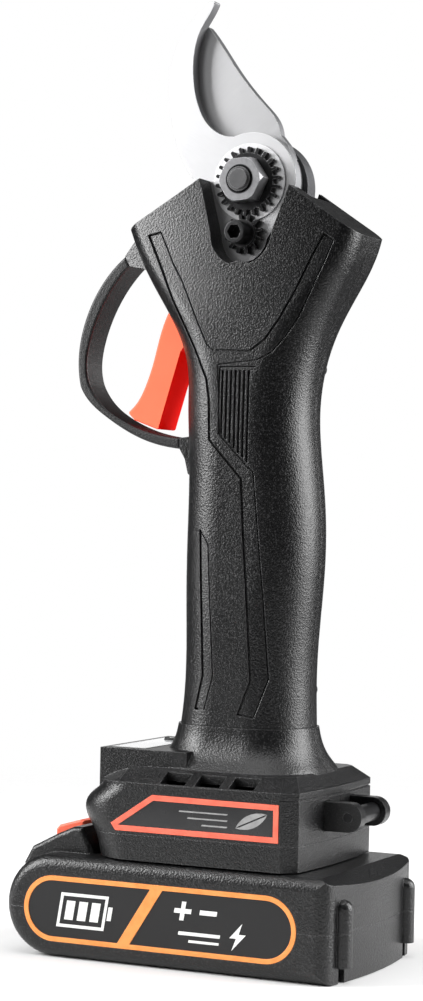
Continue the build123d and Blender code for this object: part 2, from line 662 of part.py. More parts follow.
def foot_plan(inset, front_x=-37.6, half=FOOT_HALF, corner=FRONT_CORNER_R):
    """Outline from above: round front corners, cut rear corners and a slightly bowed rear."""
    front, side, round_r = front_x + inset, half - inset, corner - inset
    cut_x, cut_y, rear = 37.6 - inset * 0.4, half - 4.3 - inset * 0.4, FOOT_REAR - inset
    centre = front + round_r
    diagonal = round_r * math.sqrt(0.5)
    near_corner = (centre - diagonal, -side + round_r - diagonal)
    far_corner = (near_corner[0], -near_corner[1])
    edges = [
        Line((centre, -side), (cut_x, -side)),
        Line((cut_x, -side), (rear, -cut_y)),
        ThreePointArc((rear, -cut_y), (rear + 1.6, 0), (rear, cut_y)),
        Line((rear, cut_y), (cut_x, side)),
        Line((cut_x, side), (centre, side)),
        ThreePointArc((centre, side), far_corner, (front, side - round_r)),
        Line((front, side - round_r), (front, -side + round_r)),
        ThreePointArc((front, -side + round_r), near_corner, (centre, -side)),
    ]
    return outline_face(*edges)


def cheek_solid(inset):
    """Lower foot with its leaning front, and the dome that closes the cheek under the display box."""
    tub = loft([Pos(0, 0, z) * foot_plan(inset, front) for z, front in CHEEK_FRONT])
    drop = inset * 0.7
    dome = loft([
        Pos(0, 0, z - drop) * foot_plan(inset, front, half, corner)
        for z, front, half, corner in CHEEK_DOME
    ], ruled=True)
    tub &= block(-60, 60, -40, 40, 30, FOOT_SHOULDER - drop)
    return tub + (dome & block(-60, -2, -40, 40, 50, 70))


# Height, front X, rear X, half width and corner radius of the flare under the grip
FLARE_SECTIONS = (
    (62.0, -25.0, 38.6, 26.0, 20.0),
    (65.0, -19.0, 37.2, 23.2, 19.0),
    (69.0, -14.8, 35.2, 20.4, 17.8),
    (73.0, -13.2, 34.0, 19.0, 17.0),
    (NECK_Z, -12.6, 33.4, 18.6, 16.9),
)


def flare_solid(inset):
    return loft([
        Pos((front + rear) / 2, 0, z)
        * RectangleRounded(rear - front - 2 * inset, 2 * (half - inset), radius - inset * 0.9)
        for z, front, rear, half, radius in FLARE_SECTIONS
    ])


def shoulder_solid(inset):
    """Sloping shoulder with flat cut faces over the side walls."""
    def ring(z, side, rear, cut, front):
        return Pos(0, 0, z) * polygon((front, -side), (rear - cut, -side), (rear, -side + cut),
                                      (rear, side - cut), (rear - cut, side), (front, side))
    low = ring(FOOT_SHOULDER - inset * 0.7, FOOT_HALF - inset, FOOT_REAR - inset, 4.4, -20)
    high = ring(FOOT_SHELF - inset * 0.7, 26.0 - inset, 38.0 - inset, 3.0, -20)
    return loft([low, high], ruled=True)


def foot_body(inset):
    half = DISPLAY_HALF - inset
    box = block(DISPLAY_FRONT + inset, 0, -half, half, 52, DISPLAY_TOP - inset)
    return cheek_solid(inset) + shoulder_solid(inset) + flare_solid(inset) + box


def foot_halves():
    shell = foot_body(0) & block(-60, 60, -40, 40, RAIL_FRAME_TOP, NECK_Z)
    shell -= foot_body(WALL) & block(-60, 60, -40, 40, RAIL_FRAME_TOP - 1, NECK_Z)
    shell -= block(-30, 34, -17, 17, 60, 66) & flare_solid(WALL)
    for x in VENT_PLACES:
        vent = block(x - 4.4, x + 4.4, -33.6, -27.6, 57.2, 64)
        shell = shell - vent - mirrored(vent)
    badge = prism(polygon(*BADGE), -FOOT_HALF - 1, -FOOT_HALF + 0.6)
    shell = shell - badge - mirrored(badge)
    groove = slab(foot_plan(-1) - foot_plan(0.5), 55.6, 56.2) & block(37, 60, -40, 40, 50, 60)
    shell -= groove
    ears = block(38, 60, EAR_Y[0] - 0.15, EAR_Y[1] + 0.15, LUG_Z - EAR_R - 0.15, LUG_Z + EAR_R + 0.15)
    shell = shell - ears - mirrored(ears)
    shell -= block(WINDOW_X[0], WINDOW_X[1], -WINDOW_HALF, WINDOW_HALF, DISPLAY_TOP - 0.8, 80)
    shell -= block(WINDOW_X[0] + 2, WINDOW_X[1] - 2, -WINDOW_HALF + 2, WINDOW_HALF - 2, 64, 70)
    near = shell & block(-80, 80, -40, 0, 30, 90)
    far = shell & block(-80, 80, 0, 40, 30, 90)
    return near, far


def rail_frame():
    """Base frame of the foot, with the T-slot that the pack slides into from the front."""
    frame = foot_body(0) & block(-60, 60, -40, 40, FOOT_BOTTOM, RAIL_FRAME_TOP)
    end = RAIL_X[1] + 0.3
    frame -= block(-50, end, -RAIL_STEM - 0.3, RAIL_STEM + 0.3, 30, RAIL_STEP_Z)
    frame -= block(-50, end, -RAIL_HEAD - 0.3, RAIL_HEAD + 0.3, RAIL_STEP_Z - 0.3, RAIL_TOP_Z + 0.3)
    pocket = block(-22, 35, 18, 31, 35.6, RAIL_FRAME_TOP + 1)
    frame = frame - pocket - mirrored(pocket)
    frame -= block(17.6, 33.4, -11, 11, 38, RAIL_FRAME_TOP + 1)
    frame -= block(-60, TONGUE_END + 0.4, -5.6, 5.6, 35.6, RAIL_FRAME_TOP + 1)
    return frame


def terminal_block():
    base = block(17.6, 33.4, -11, 11, RAIL_TOP_Z + 0.3, 44)
    for y in TERMINAL_Y:
        base -= block(19, 32, y - 0.4, y + 0.4, 38, 46)
    return base


def tool_terminals():
    return group(*[block(19, 32, y - 0.4, y + 0.4, 35.6, 48) for y in TERMINAL_Y])


def display_window():
    x, y = BUTTON_PLACE
    window = block(WINDOW_X[0] + 0.1, WINDOW_X[1] - 0.1, -WINDOW_HALF + 0.1, WINDOW_HALF - 0.1,
                   DISPLAY_TOP - 0.8, DISPLAY_TOP + 0.1)
    return window - rod_z(x, y, BUTTON_R + 0.2, 60, 70)


def power_button():
    cap = rod_z(*BUTTON_PLACE, BUTTON_R, 65.6, DISPLAY_TOP + 0.8)
    cap = soft_edges(cap, cap.edges().filter_by(lambda e: e.center().Z > DISPLAY_TOP), 0.4)
    return cap + rod_z(*BUTTON_PLACE, 4.2, 65.2, 66.0)


def display_board():
    board = block(-28.6, -17.6, -20, 20, 60.4, 61.8)
    board += rod_z(*BUTTON_PLACE, 2.4, 61.8, 64.0)
    return board + block(-27, -19, -18, 4, 61.8, 65.0)


def lanyard_bracket():
    low, high = LUG_Z - EAR_R, LUG_Z + EAR_R
    outline = polygon((39.0, low), (LUG_X, low), (LUG_X, high), (39.0, high))
    ear = prism(outline + Pos(LUG_X, LUG_Z) * Circle(EAR_R), *EAR_Y) - rod_y(LUG_X, LUG_Z, 1.6, 0, 20)
    plate = block(37.2, 39.0, -16, 16, LUG_Z - 6, LUG_Z + 6)
    return plate + ear + mirrored(ear)


def lanyard_pin():
    return rod_y(LUG_X, LUG_Z, 1.6, -EAR_Y[1], EAR_Y[1]) + rod_y(LUG_X, LUG_Z, 3.0, -EAR_Y[0], EAR_Y[0])


def foot_badges():
    panel = prism(offset(polygon(*BADGE), -1.9), -FOOT_HALF + 0.1, -FOOT_HALF + 0.6)
    return both_sides(panel)


def foot_badge_trims():
    ring = offset(polygon(*BADGE), -0.1) - offset(polygon(*BADGE), -1.9)
    return both_sides(prism(ring, -FOOT_HALF - 0.2, -FOOT_HALF + 0.6))


# ---------------------------------------------------------------- battery pack

def pack_profile(inset):
    radius = PACK_TOP / 2 - inset
    centre = PACK_FRONT + PACK_TOP / 2
    edges = [
        ThreePointArc((centre, PACK_TOP - inset), (centre - radius, PACK_TOP / 2), (centre, inset)),
        Line((centre, inset), (64, inset)),
        Line((64, inset), (64, PACK_TOP - inset)),
        Line((64, PACK_TOP - inset), (centre, PACK_TOP - inset)),
    ]
    return outline_face(*edges)


def pack_plan(inset):
    side, corner, rear = PACK_HALF - inset, 31.0 - inset, PACK_CORNER - inset
    edges = [
        Line((-70, -side), (50 - inset, -side)),
        ThreePointArc((50 - inset, -side), (rear - 1.5, -side + 1.6), (rear, -corner)),
        ThreePointArc((rear, -corner), (rear + REAR_BOW, 0), (rear, corner)),
        ThreePointArc((rear, corner), (rear - 1.5, side - 1.6), (50 - inset, side)),
        Line((50 - inset, side), (-70, side)),
        Line((-70, side), (-70, -side)),
    ]
    return outline_face(*edges)


def pack_solid(inset):
    bar = prism(pack_profile(inset), -PACK_HALF + inset, PACK_HALF - inset)
    bar = soft_edges(bar, bar.faces().filter_by(Axis.Y).edges(), SIDE_ROUND - inset)
    return bar & slab(pack_plan(inset), -1, 40)


def hump_face(inset):
    """Side view of the raised front deck, which slopes up to the foot."""
    return offset(polygon((-57.6, 16), (-58.4, 28.6), (-55.4, 34.0), (-46.5, 38.6), (-40.2, 41.4),
                          (-36.7, 41.6), (-32.4, 33.4), (-32.4, 16)), -inset)


def label_face(inset):
    (x0, x1), radius = LABEL_ENDS, LABEL_R - inset
    low, high = LABEL_Z - radius, LABEL_Z + radius
    bar = polygon((x0, low), (x1, low), (x1, high), (x0, high))
    return bar + Pos(x0, LABEL_Z) * Circle(radius) + Pos(x1, LABEL_Z) * Circle(radius)


def pack_case():
    """Pack housing as one shell, before it is parted into its top and bottom halves."""
    hump = prism(hump_face(0), -HUMP_HALF, HUMP_HALF)
    hump = soft_edges(hump, hump.faces().filter_by(Axis.Y).edges(), 1.6)
    rail = block(*RAIL_X, -RAIL_STEM, RAIL_STEM, 30, RAIL_STEP_Z)
    rail += block(*RAIL_X, -RAIL_HEAD, RAIL_HEAD, RAIL_STEP_Z, RAIL_TOP_Z)
    outer = pack_solid(0) + hump
    lid = PACK_TOP + 0.01
    lean = polygon((PACK_CORNER - 4.0, lid), (70, lid), (70, 24), (PACK_CORNER + 2.4, 29.4))
    outer -= prism(lean, -40, 40)
    for y in (-BOSS_Y, BOSS_Y):
        outer += rod_z(BOSS_X, y, BOSS_R, 4.9, 23) + Pos(BOSS_X, y, 23) * Sphere(BOSS_R)
        outer -= block(PACK_CORNER - 1.6, 62, y - 1.8, y + 1.8, -1, 4.9)
    inner = pack_solid(PACK_WALL) - prism(polygon((48.6, 34), (70, 34), (70, 10), (53.6, 26)), -40, 40)
    inner += prism(hump_face(PACK_WALL), -HUMP_HALF + PACK_WALL, HUMP_HALF - PACK_WALL)
    inner -= block(50, 60, -33, -21, -1, 7.4) + block(50, 60, 21, 33, -1, 7.4)
    case = outer - inner + (rail - block(RAIL_X[0] + 2, 14.0, -9, 9, 29, RAIL_TOP_Z - 2))

    cup = block(LATCH_X[0] - 2, LATCH_X[1] + 2, -LATCH_HALF - 2, LATCH_HALF + 2, 28.8, 44)
    case += cup & prism(hump_face(0.4), -26, 26)
    case += rod_z(SPRING_X, 0, 4.8, SPRING_Z[0] - 2, 30)
    case -= block(LATCH_X[0] - 0.3, LATCH_X[1] + 0.3, -LATCH_HALF - 0.3, LATCH_HALF + 0.3, 31.0, 50)
    case -= rod_z(SPRING_X, 0, 3.4, SPRING_Z[0], 34)
    case -= block(LATCH_X[1], -30, -5.3, 5.3, 36.0, 50)
    for step in range(3):
        x = -46.4 - 3.1 * step
        ridge = rod_y(x, 38.75 - 1.6 * step, 0.55, LATCH_HALF + 2.5, HUMP_HALF - 2.5)
        case = case - ridge - mirrored(ridge)
    for y in TERMINAL_Y:
        case -= block(16, 40, y - 1.4, y + 1.4, 34.4, 50)
    label = prism(label_face(0), -PACK_HALF - 1, -PACK_HALF + 0.5)
    case = case - label - mirrored(label)
    core = pack_solid(0.4)
    for x, y, seat in PACK_SCREWS:
        case += rod_z(x, y, 3.0, 0, 28) & core
        case = case - rod_z(x, y, 1.2, seat, 24) - rod_z(x, y, 2.6, -1, seat)
    return case


def pack_halves(case):
    top = case & block(-80, 80, -50, 50, PACK_PARTING, 60)
    bottom = case & block(-80, 80, -50, 50, -5, PACK_PARTING)
    return top, bottom


def pack_screws():
    return group(*[
        rod_z(x, y, 1.2, seat, 23) + rod_z(x, y, 2.5, seat - 2, seat) - rod_z(x, y, 1.0, 0, seat - 1)
        for x, y, seat in PACK_SCREWS
    ])


def cell_places():
    return [CELL_PITCH * (index - (CELL_COUNT - 1) / 2) for index in range(CELL_COUNT)]


def battery_cells():
    cells = []
    for x in cell_places():
        can = rod_y(x, CELL_Z, CELL_R, -CELL_LENGTH / 2, CELL_LENGTH / 2)
        cells.append(can)
    return group(*cells)


def cell_holders():
    plate = block(-47.2, 47.2, 20.5, 23.5, 3.0, 22.6)
    for x in cell_places():
        plate -= rod_y(x, CELL_Z, CELL_R + 0.05, 20, 24)
    return both_sides(plate)


def cell_straps():
    straps = []
    places, end = cell_places(), CELL_LENGTH / 2
    for first, last in ((0, 1), (2, 3), (4, 4)):
        straps.append(block(places[first] - 4, places[last] + 4, -end - 0.3, -end, CELL_Z - 4, CELL_Z + 4))
    for first, last in ((0, 0), (1, 2), (3, 4)):
        straps.append(block(places[first] - 4, places[last] + 4, end, end + 0.3, CELL_Z - 4, CELL_Z + 4))
    return group(*straps)


def battery_board():
    board = block(-36, 40, -20, 20, 23.4, 25.0)
    for x, y, width, depth, height in ((-18, -10, 8, 8, 2), (-4, 8, 6, 6, 1.6), (10, -9, 10, 6, 2.6)):
        board += block(x - width / 2, x + width / 2, y - depth / 2, y + depth / 2, 25.0, 25.0 + height)
    return board


def battery_terminals():
    clips = []
    for y in TERMINAL_Y:
        for side in (-1, 1):
            y0, y1 = sorted((y + side * 0.8, y + side * 1.4))
            clips.append(block(18, 30, y0, y1, 34.4, 38.8))
    return group(*clips)


def latch_button():
    outline = polygon((-54.6, 34.6), (-54.6, 38.2), (-53.4, 39.6),
                      (-45.6, 41.9), (-44.0, 41.6), (-44.0, 34.6))
    body = prism(outline, -LATCH_HALF, LATCH_HALF)
    body = soft_edges(body, body.faces().filter_by(Axis.Y).edges(), 0.8)
    return body + block(-44.2, TONGUE_END, -5, 5, 39.2, 41.2)


def latch_spring():
    low, high = SPRING_Z
    turns = 5
    path = Helix(pitch=(high - low - 0.8) / turns, height=high - low - 0.8, radius=2.5)
    coil = sweep(Plane(path @ 0, z_dir=path % 0) * Circle(0.35), path=path, is_frenet=True)
    return Pos(SPRING_X, 0, low + 0.4) * coil


def stripe_face():
    """Slanting stripe that parts the label in two."""
    low, high = LABEL_Z - LABEL_R + 1, LABEL_Z + LABEL_R - 1
    return polygon((-18.2, low), (-13.8, low), (-1.5, high), (-5.9, high))


def battery_labels():
    panel = label_face(1.7) - stripe_face()
    return both_sides(prism(panel, -PACK_HALF + 0.1, -PACK_HALF + 0.5))


def battery_label_trims():
    ring = label_face(0.1) - label_face(1.7) + (stripe_face() & label_face(0.5))
    return both_sides(prism(ring, -PACK_HALF - 0.1, -PACK_HALF + 0.5))


# ---------------------------------------------------------------- trigger

def trigger():
    """Trigger lever: a tapered finger piece with a hooked toe, hollow from behind."""
    front = Spline((-19.7, 211.8), (-22.5, 204.4), (-25.0, 194.9), (-27.5, 187.8), (-30.2, 182.6),
                   (-34.0, 178.8))
    outline = [front, Polyline(front @ 1, (-31.4, 176.2), (-22.4, 173.0), (-14.6, 199.0), (-10.6, 204.4),
                               (-10.2, 213.6), (-13.5, 215.2), (-15.8, 214.4), (-16.6, 212.5), front @ 0)]
    lever = prism(outline_face(*outline), -TRIGGER_HALF, TRIGGER_HALF)
    lever = soft_edges(lever, lever.edges().filter_by(lambda e: e.center().X < -21), 0.8)
    lever -= rod_y(*TRIGGER_PIN, 1.55, -10, 10) + rod_y(*TRIGGER_PIN, 3.2, -2.4, 2.4)
    return lever - trigger_magnet()


def trigger_spring():
    """Coils of the return spring, wound round the pin in a slot of the lever."""
    x, z = TRIGGER_PIN
    return group(*[Pos(x, 1.1 * turn, z) * Rot(90, 0, 0) * Torus(2.4, 0.45) for turn in (-1, 0, 1)])


def trigger_pin():
    return rod_y(*TRIGGER_PIN, 1.5, -9.6, 9.6)


def trigger_magnet():
    return rod_x(0, 186.0, 1.5, -20.6, -19.2)


def shaft_bush():
    bush = rod_y(PIVOT_X, PIVOT_Z, BUSH_R, *BLADE_Y) - rod_y(PIVOT_X, PIVOT_Z, BOLT_R, -4, 4)
    return bush


def pivot_washer():
    return rod_y(PIVOT_X, PIVOT_Z, 12.8, *WASHER_Y) - rod_y(PIVOT_X, PIVOT_Z, BOLT_R, -8, -4)


# ---------------------------------------------------------------- nodes

handle_near, handle_far = housing_halves()
foot_near, foot_far = foot_halves()
pack_top, pack_bottom = pack_halves(pack_case())

NODES = {
    "hook_blade": hook_blade(),
    "cutting_blade": cutting_blade(),
    "pivot_bush": shaft_bush(),
    "pivot_bolt": pivot_bolt(),
    "pivot_nut": hex_nut(),
    "pivot_washer": pivot_washer(),
    "lock_disc": lock_disc(),
    "lock_gear": lock_gear(),
    "lock_screw": lock_screw(),
    "head_frame": head_frame(),
    "drive_pinion": drive_pinion(),
    "bevel_gear": bevel_gear(),
    "bevel_pinion": bevel_pinion(),
    "shaft_bearings": shaft_bearings(),
    "ring_gear": ring_gear(),
    "planet_carrier": planet_carrier(),
    "planet_pins": planet_pins(),
    "sun_gear": sun_gear(),
    "motor_can": motor_can(),
    "motor_magnets": motor_magnets(),
    "motor_end_cap": motor_end_cap(),
    "motor_rotor": motor_rotor(),
    "motor_leads": motor_leads(),
    "control_board": control_board(),
    "trigger_sensor": trigger_sensor(),
    "trigger": trigger(),
    "trigger_pin": trigger_pin(),
    "trigger_magnet": trigger_magnet(),
    "trigger_spring": trigger_spring(),
    "trigger_guard": trigger_guard(),
    "handle_shell_near": handle_near,
    "handle_shell_far": handle_far,
    "housing_screws": housing_screws(),
    "foot_shell_near": foot_near,
    "foot_shell_far": foot_far,
    "foot_badges": foot_badges(),
    "foot_badge_trims": foot_badge_trims(),
    "rail_frame": rail_frame(),
    "terminal_block": terminal_block(),
    "tool_terminals": tool_terminals(),
    "display_window": display_window(),
    "display_board": display_board(),
    "power_button": power_button(),
    "lanyard_bracket": lanyard_bracket(),
    "lanyard_pin": lanyard_pin(),
    "battery_case_top": pack_top,
    "battery_case_bottom": pack_bottom,
    "battery_screws": pack_screws(),
    "battery_cells": battery_cells(),
    "cell_holders": cell_holders(),
    "cell_straps": cell_straps(),
    "battery_board": battery_board(),
    "battery_terminals": battery_terminals(),
    "battery_labels": battery_labels(),
    "battery_label_trims": battery_label_trims(),
    "latch_button": latch_button(),
    "latch_spring": latch_spring(),
}
for number, angle in enumerate(planet_places(), start=1):
    NODES[f"planet_gear_{number}"] = planet_gear(angle)

for name, shape in NODES.items():
    export_step(shape, f"parts/{name}.step")
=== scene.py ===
import json
import math

import bpy
from mathutils import Matrix, Vector


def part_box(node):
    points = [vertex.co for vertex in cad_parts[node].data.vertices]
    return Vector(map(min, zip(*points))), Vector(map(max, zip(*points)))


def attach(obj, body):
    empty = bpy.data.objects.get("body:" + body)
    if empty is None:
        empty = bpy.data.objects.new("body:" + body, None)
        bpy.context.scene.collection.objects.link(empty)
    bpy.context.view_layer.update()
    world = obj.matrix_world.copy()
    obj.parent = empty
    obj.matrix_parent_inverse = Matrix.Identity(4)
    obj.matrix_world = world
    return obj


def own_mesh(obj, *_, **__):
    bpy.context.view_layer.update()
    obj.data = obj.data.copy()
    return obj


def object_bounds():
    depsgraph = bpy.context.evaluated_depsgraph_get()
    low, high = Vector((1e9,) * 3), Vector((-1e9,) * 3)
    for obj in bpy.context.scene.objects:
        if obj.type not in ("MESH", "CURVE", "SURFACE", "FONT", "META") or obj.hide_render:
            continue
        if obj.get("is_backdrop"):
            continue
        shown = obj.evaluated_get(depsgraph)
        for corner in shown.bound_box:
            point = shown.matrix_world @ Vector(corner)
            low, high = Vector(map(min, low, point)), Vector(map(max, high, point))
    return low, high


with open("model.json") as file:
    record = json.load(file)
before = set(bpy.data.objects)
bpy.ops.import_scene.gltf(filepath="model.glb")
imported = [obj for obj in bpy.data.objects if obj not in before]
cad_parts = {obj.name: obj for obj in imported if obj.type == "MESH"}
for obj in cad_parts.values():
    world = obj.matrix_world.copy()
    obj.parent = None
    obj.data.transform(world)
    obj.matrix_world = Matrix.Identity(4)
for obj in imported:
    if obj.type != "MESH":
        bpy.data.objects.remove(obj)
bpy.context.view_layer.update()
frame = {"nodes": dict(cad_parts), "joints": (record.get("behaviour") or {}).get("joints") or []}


# ---------------------------------------------------------------- battery case
# Two halves moulded in black glass-filled nylon, with the cells and a small circuit board inside.
# The moulds are spark-eroded, so every outer face carries a fine leathery grain.

class Level:
    """A number that varies over a surface, so that shader maths reads as ordinary sums."""

    def __init__(self, finish, socket):
        self.finish = finish
        self.socket = socket

    def maths(self, operation, first, second=0.0):
        return self.finish.node("ShaderNodeMath", {"operation": operation}, {0: first, 1: second})

    def __add__(self, other):
        return self.maths("ADD", self, other)

    __radd__ = __add__

    def __sub__(self, other):
        return self.maths("SUBTRACT", self, other)

    def __rsub__(self, other):
        return self.maths("SUBTRACT", other, self)

    def __mul__(self, other):
        return self.maths("MULTIPLY", self, other)

    __rmul__ = __mul__

    def __truediv__(self, other):
        return self.maths("DIVIDE", self, other)

    def __gt__(self, other):
        return self.maths("GREATER_THAN", self, other)

    def __lt__(self, other):
        return self.maths("LESS_THAN", self, other)

    def __abs__(self):
        return self.maths("ABSOLUTE", self)

    def highest(self, other):
        return self.maths("MAXIMUM", self, other)

    def rest_of(self, length):
        return self.maths("FLOORED_MODULO", self, length)


class Finish:
    """A material on one Principled shader. Coordinates are the row frame's, in millimetres."""

    def __init__(self, name, **steady):
        self.material = bpy.data.materials.new(name)
        self.material.use_nodes = True
        self.tree = self.material.node_tree
        self.shader = self.tree.nodes["Principled BSDF"]
        for socket, value in steady.items():
            self.shader.inputs[socket.replace("_", " ")].default_value = value

    def feed(self, socket, value):
        if isinstance(value, Level):
            self.tree.links.new(value.socket, socket)
        else:
            socket.default_value = value

    def node(self, kind, settings, sockets, out=0):
        made = self.tree.nodes.new(kind)
        for setting, value in settings.items():
            setattr(made, setting, value)
        for socket, value in sockets.items():
            self.feed(made.inputs[socket], value)
        return Level(self, made.outputs[out])

    def wear(self, **varying):
        """Lead values or links into the shader's own sockets."""
        for socket, value in varying.items():
            self.feed(self.shader.inputs[socket.replace("_", " ")], value)
        return self

    def root(self, square):
        return self.node("ShaderNodeMath", {"operation": "SQRT"}, {0: square})

    def place(self):
        return self.node("ShaderNodeTexCoord", {}, {}, "Object")

    def along(self, axis):
        """Distance along an axis of the frame, in millimetres."""
        return self.node("ShaderNodeSeparateXYZ", {}, {0: self.place()}, axis) * 1000.0

    def facing(self, axis):
        """How far the surface faces along an axis, from -1 to 1."""
        normal = self.node("ShaderNodeTexCoord", {}, {}, "Normal")
        return self.node("ShaderNodeSeparateXYZ", {}, {0: normal}, axis)

    def noise(self, size, detail=2.0, stretch=(1.0, 1.0, 1.0), turn=(0.0, 0.0, 0.0)):
        """Cloudy variation from 0 to 1 whose lumps are about size millimetres wide."""
        scale = [1000.0 / size / way for way in stretch]
        place = self.node("ShaderNodeMapping", {"vector_type": "TEXTURE"},
                          {"Vector": self.place(), "Rotation": turn, "Scale": [1.0 / s for s in scale]})
        return self.node("ShaderNodeTexNoise", {}, {"Vector": place, "Scale": 1.0, "Detail": detail})

    def pebbles(self, size):
        """Rounded cells about size millimetres across: 0 in their middles, rising to their edges."""
        return self.node("ShaderNodeTexVoronoi", {"feature": "SMOOTH_F1"},
                         {"Vector": self.place(), "Scale": 1000.0 / size, "Smoothness": 0.6})

    def ramp(self, level, low, high):
        """A soft step from 0 at low to 1 at high."""
        return self.node("ShaderNodeMapRange", {"interpolation_type": "SMOOTHSTEP"},
                         {"Value": level, "From Min": low, "From Max": high})

    def shade(self, mask, first, second):
        """Colour that goes from the first to the second where the mask is 1."""
        return self.node("ShaderNodeMix", {"data_type": "RGBA"}, {0: mask, 6: first, 7: second}, 2)

    def rounding(self, radius):
        """Normal with the sharp edges rounded off, radius in millimetres."""
        return self.node("ShaderNodeBevel", {"samples": 4}, {"Radius": radius / 1000.0})

    # Where this mask lightens the nylon and the blade steel, it places a painted highlight along the edges.
    def edge_wear_and_highlight(self, radius):
        """1 along sharp edges and corners, 0 on the flats."""
        flat = self.node("ShaderNodeNewGeometry", {}, {}, "Normal")
        turned = self.node("ShaderNodeVectorMath", {"operation": "DOT_PRODUCT"},
                           {0: self.rounding(radius), 1: flat}, "Value")
        return self.ramp(1.0 - turned, 0.01, 0.15)

    def relief(self, height, depth, rounding=0.0):
        """Raise the surface by up to depth millimetres, over edges rounded to a radius."""
        sockets = {"Height": height, "Distance": depth / 1000.0, "Strength": 1.0}
        if rounding:
            sockets["Normal"] = self.rounding(rounding)
        return self.wear(Normal=self.node("ShaderNodeBump", {}, sockets))


def tint(red, green, blue):
    """A paint colour as read off a screen, turned into linear light."""
    def linear(level):
        part = level / 255.0
        return part / 12.92 if part <= 0.04045 else ((part + 0.055) / 1.055) ** 2.4
    return (linear(red), linear(green), linear(blue), 1.0)


def coat(finish, *nodes):
    """Give whole CAD nodes, or pieces made here, one material."""
    for node in nodes:
        piece = frame["nodes"][node] if isinstance(node, str) else node
        piece.data.materials.clear()
        piece.data.materials.append(finish.material)


SEAM_HALF = 0.26
SEAM_FLOOR = 0.12
SEAM_DEPTH = 0.12


def grained_nylon(name, grey, grain, depth, roughness, crown=None, seam=False):
    """Black moulded nylon with a pebbled grain, pale specks painted in as glints of the grain, and painted
    highlights along its edges.
    A crown is a broad swell of the face, in millimetres, too shallow to be worth drawing in its outline.
    A seam is the fine dark groove where the two halves of a shell meet."""
    nylon = Finish(name, Specular_IOR_Level=0.5)
    bloom = nylon.noise(26.0, 4.0)
    scuffs = nylon.ramp(nylon.noise(1.3, 3.0, (1.0, 1.0, 7.0), (0.5, 0.2, 0.3)), 0.66, 0.8)
    body = nylon.shade(bloom, tint(grey - 4, grey - 4, grey - 3), tint(grey + 4, grey + 4, grey + 5))
    # Pale specks lighten about half the grain's spots: painted glints, the sparkle of the glossy grain under
    # the lights, painted into its colour.
    painted_glints = nylon.ramp(nylon.noise(grain * 0.9, 1.0), 0.52, 0.72)
    with_painted_glints = nylon.shade(painted_glints * 0.5, body, tint(grey + 48, grey + 48, grey + 49))
    scuffed = nylon.shade(scuffs * 0.25, with_painted_glints, tint(grey + 26, grey + 26, grey + 26))
    # The edges are painted paler: a painted highlight along them, where rounded edges would catch the light.
    edges = nylon.edge_wear_and_highlight(0.55)
    colour = nylon.shade(edges * 0.7, scuffed, tint(grey + 62, grey + 62, grey + 63))
    leather = nylon.pebbles(grain) * 0.7 + nylon.noise(grain * 0.6, 2.0) * 0.6
    height = leather * depth
    if crown:
        height = height + crown(nylon)
    if seam:
        groove = nylon.ramp(abs(nylon.along("Y")), SEAM_HALF, SEAM_FLOOR)
        colour = nylon.shade(groove, colour, tint(4, 4, 4))
        height = height - groove * SEAM_DEPTH
    nylon.wear(Base_Color=colour, Roughness=roughness + bloom * 0.08 + painted_glints * 0.2 - edges * 0.06)
    return nylon.relief(height, 1.0, 0.35)


case_nylon = grained_nylon("case_nylon", 8, 0.62, 0.13, 0.26)
coat(case_nylon, "battery_case_top", "battery_case_bottom")


# ---------------------------------------------------------------- battery cells
# Five round steel cells lie across the pack, each shrunk into a blue printed sleeve.
# Nylon holders grip their ends, and nickel straps are spot-welded from cell to cell.

# Distances from the middle of a cell, in millimetres
SLEEVE_END = (31.4, 31.8)
BAND_START = (24.0, 24.2)
BAND_END = (25.6, 25.8)
sleeve = Finish("cell_sleeve", Specular_IOR_Level=0.5)
across = abs(sleeve.along("Y"))
bare_end = sleeve.ramp(across, *SLEEVE_END)
band = sleeve.ramp(across, *BAND_START) - sleeve.ramp(across, *BAND_END)
crinkle = sleeve.noise(2.4, 3.0, (1.0, 6.0, 1.0))
film = sleeve.shade(crinkle, tint(20, 70, 130), tint(34, 96, 160))
printed = sleeve.shade(band, film, tint(225, 228, 230))
sleeve.wear(Base_Color=sleeve.shade(bare_end, printed, tint(190, 190, 192)),
            Metallic=bare_end, Roughness=0.28 + crinkle * 0.14)
sleeve.relief(crinkle, 0.06)
coat(sleeve, "battery_cells")

holder_nylon = Finish("holder_nylon", Specular_IOR_Level=0.4)
mottle = holder_nylon.noise(5.0, 4.0)
holder_nylon.wear(Base_Color=holder_nylon.shade(mottle, tint(196, 190, 170), tint(222, 217, 200)),
                  Roughness=0.5 + mottle * 0.12)
holder_nylon.relief(holder_nylon.noise(0.5, 2.0), 0.02)
coat(holder_nylon, "cell_holders")


def welded_nickel():
    """Bright rolled nickel strip with pairs of small round weld marks."""
    nickel = Finish("welded_nickel")
    rolled = nickel.noise(0.25, 2.0, (30.0, 1.0, 1.0))
    spots = nickel.ramp(nickel.pebbles(3.1), 0.14, 0.1)
    clean = nickel.shade(rolled, tint(168, 166, 160), tint(206, 204, 198))
    nickel.wear(Base_Color=nickel.shade(spots * 0.7, clean, tint(96, 90, 84)),
                Metallic=1.0 - spots * 0.2, Roughness=0.26 + spots * 0.3 + rolled * 0.08)
    return nickel.relief(spots + rolled * 0.2, 0.08)


coat(welded_nickel(), "cell_straps")


# ---------------------------------------------------------------- battery board and contacts
# The pack's glass-fibre board carries its protection parts under a green lacquer.
# Spring clips of plated copper stand up from it, and take the tool's blades between them.

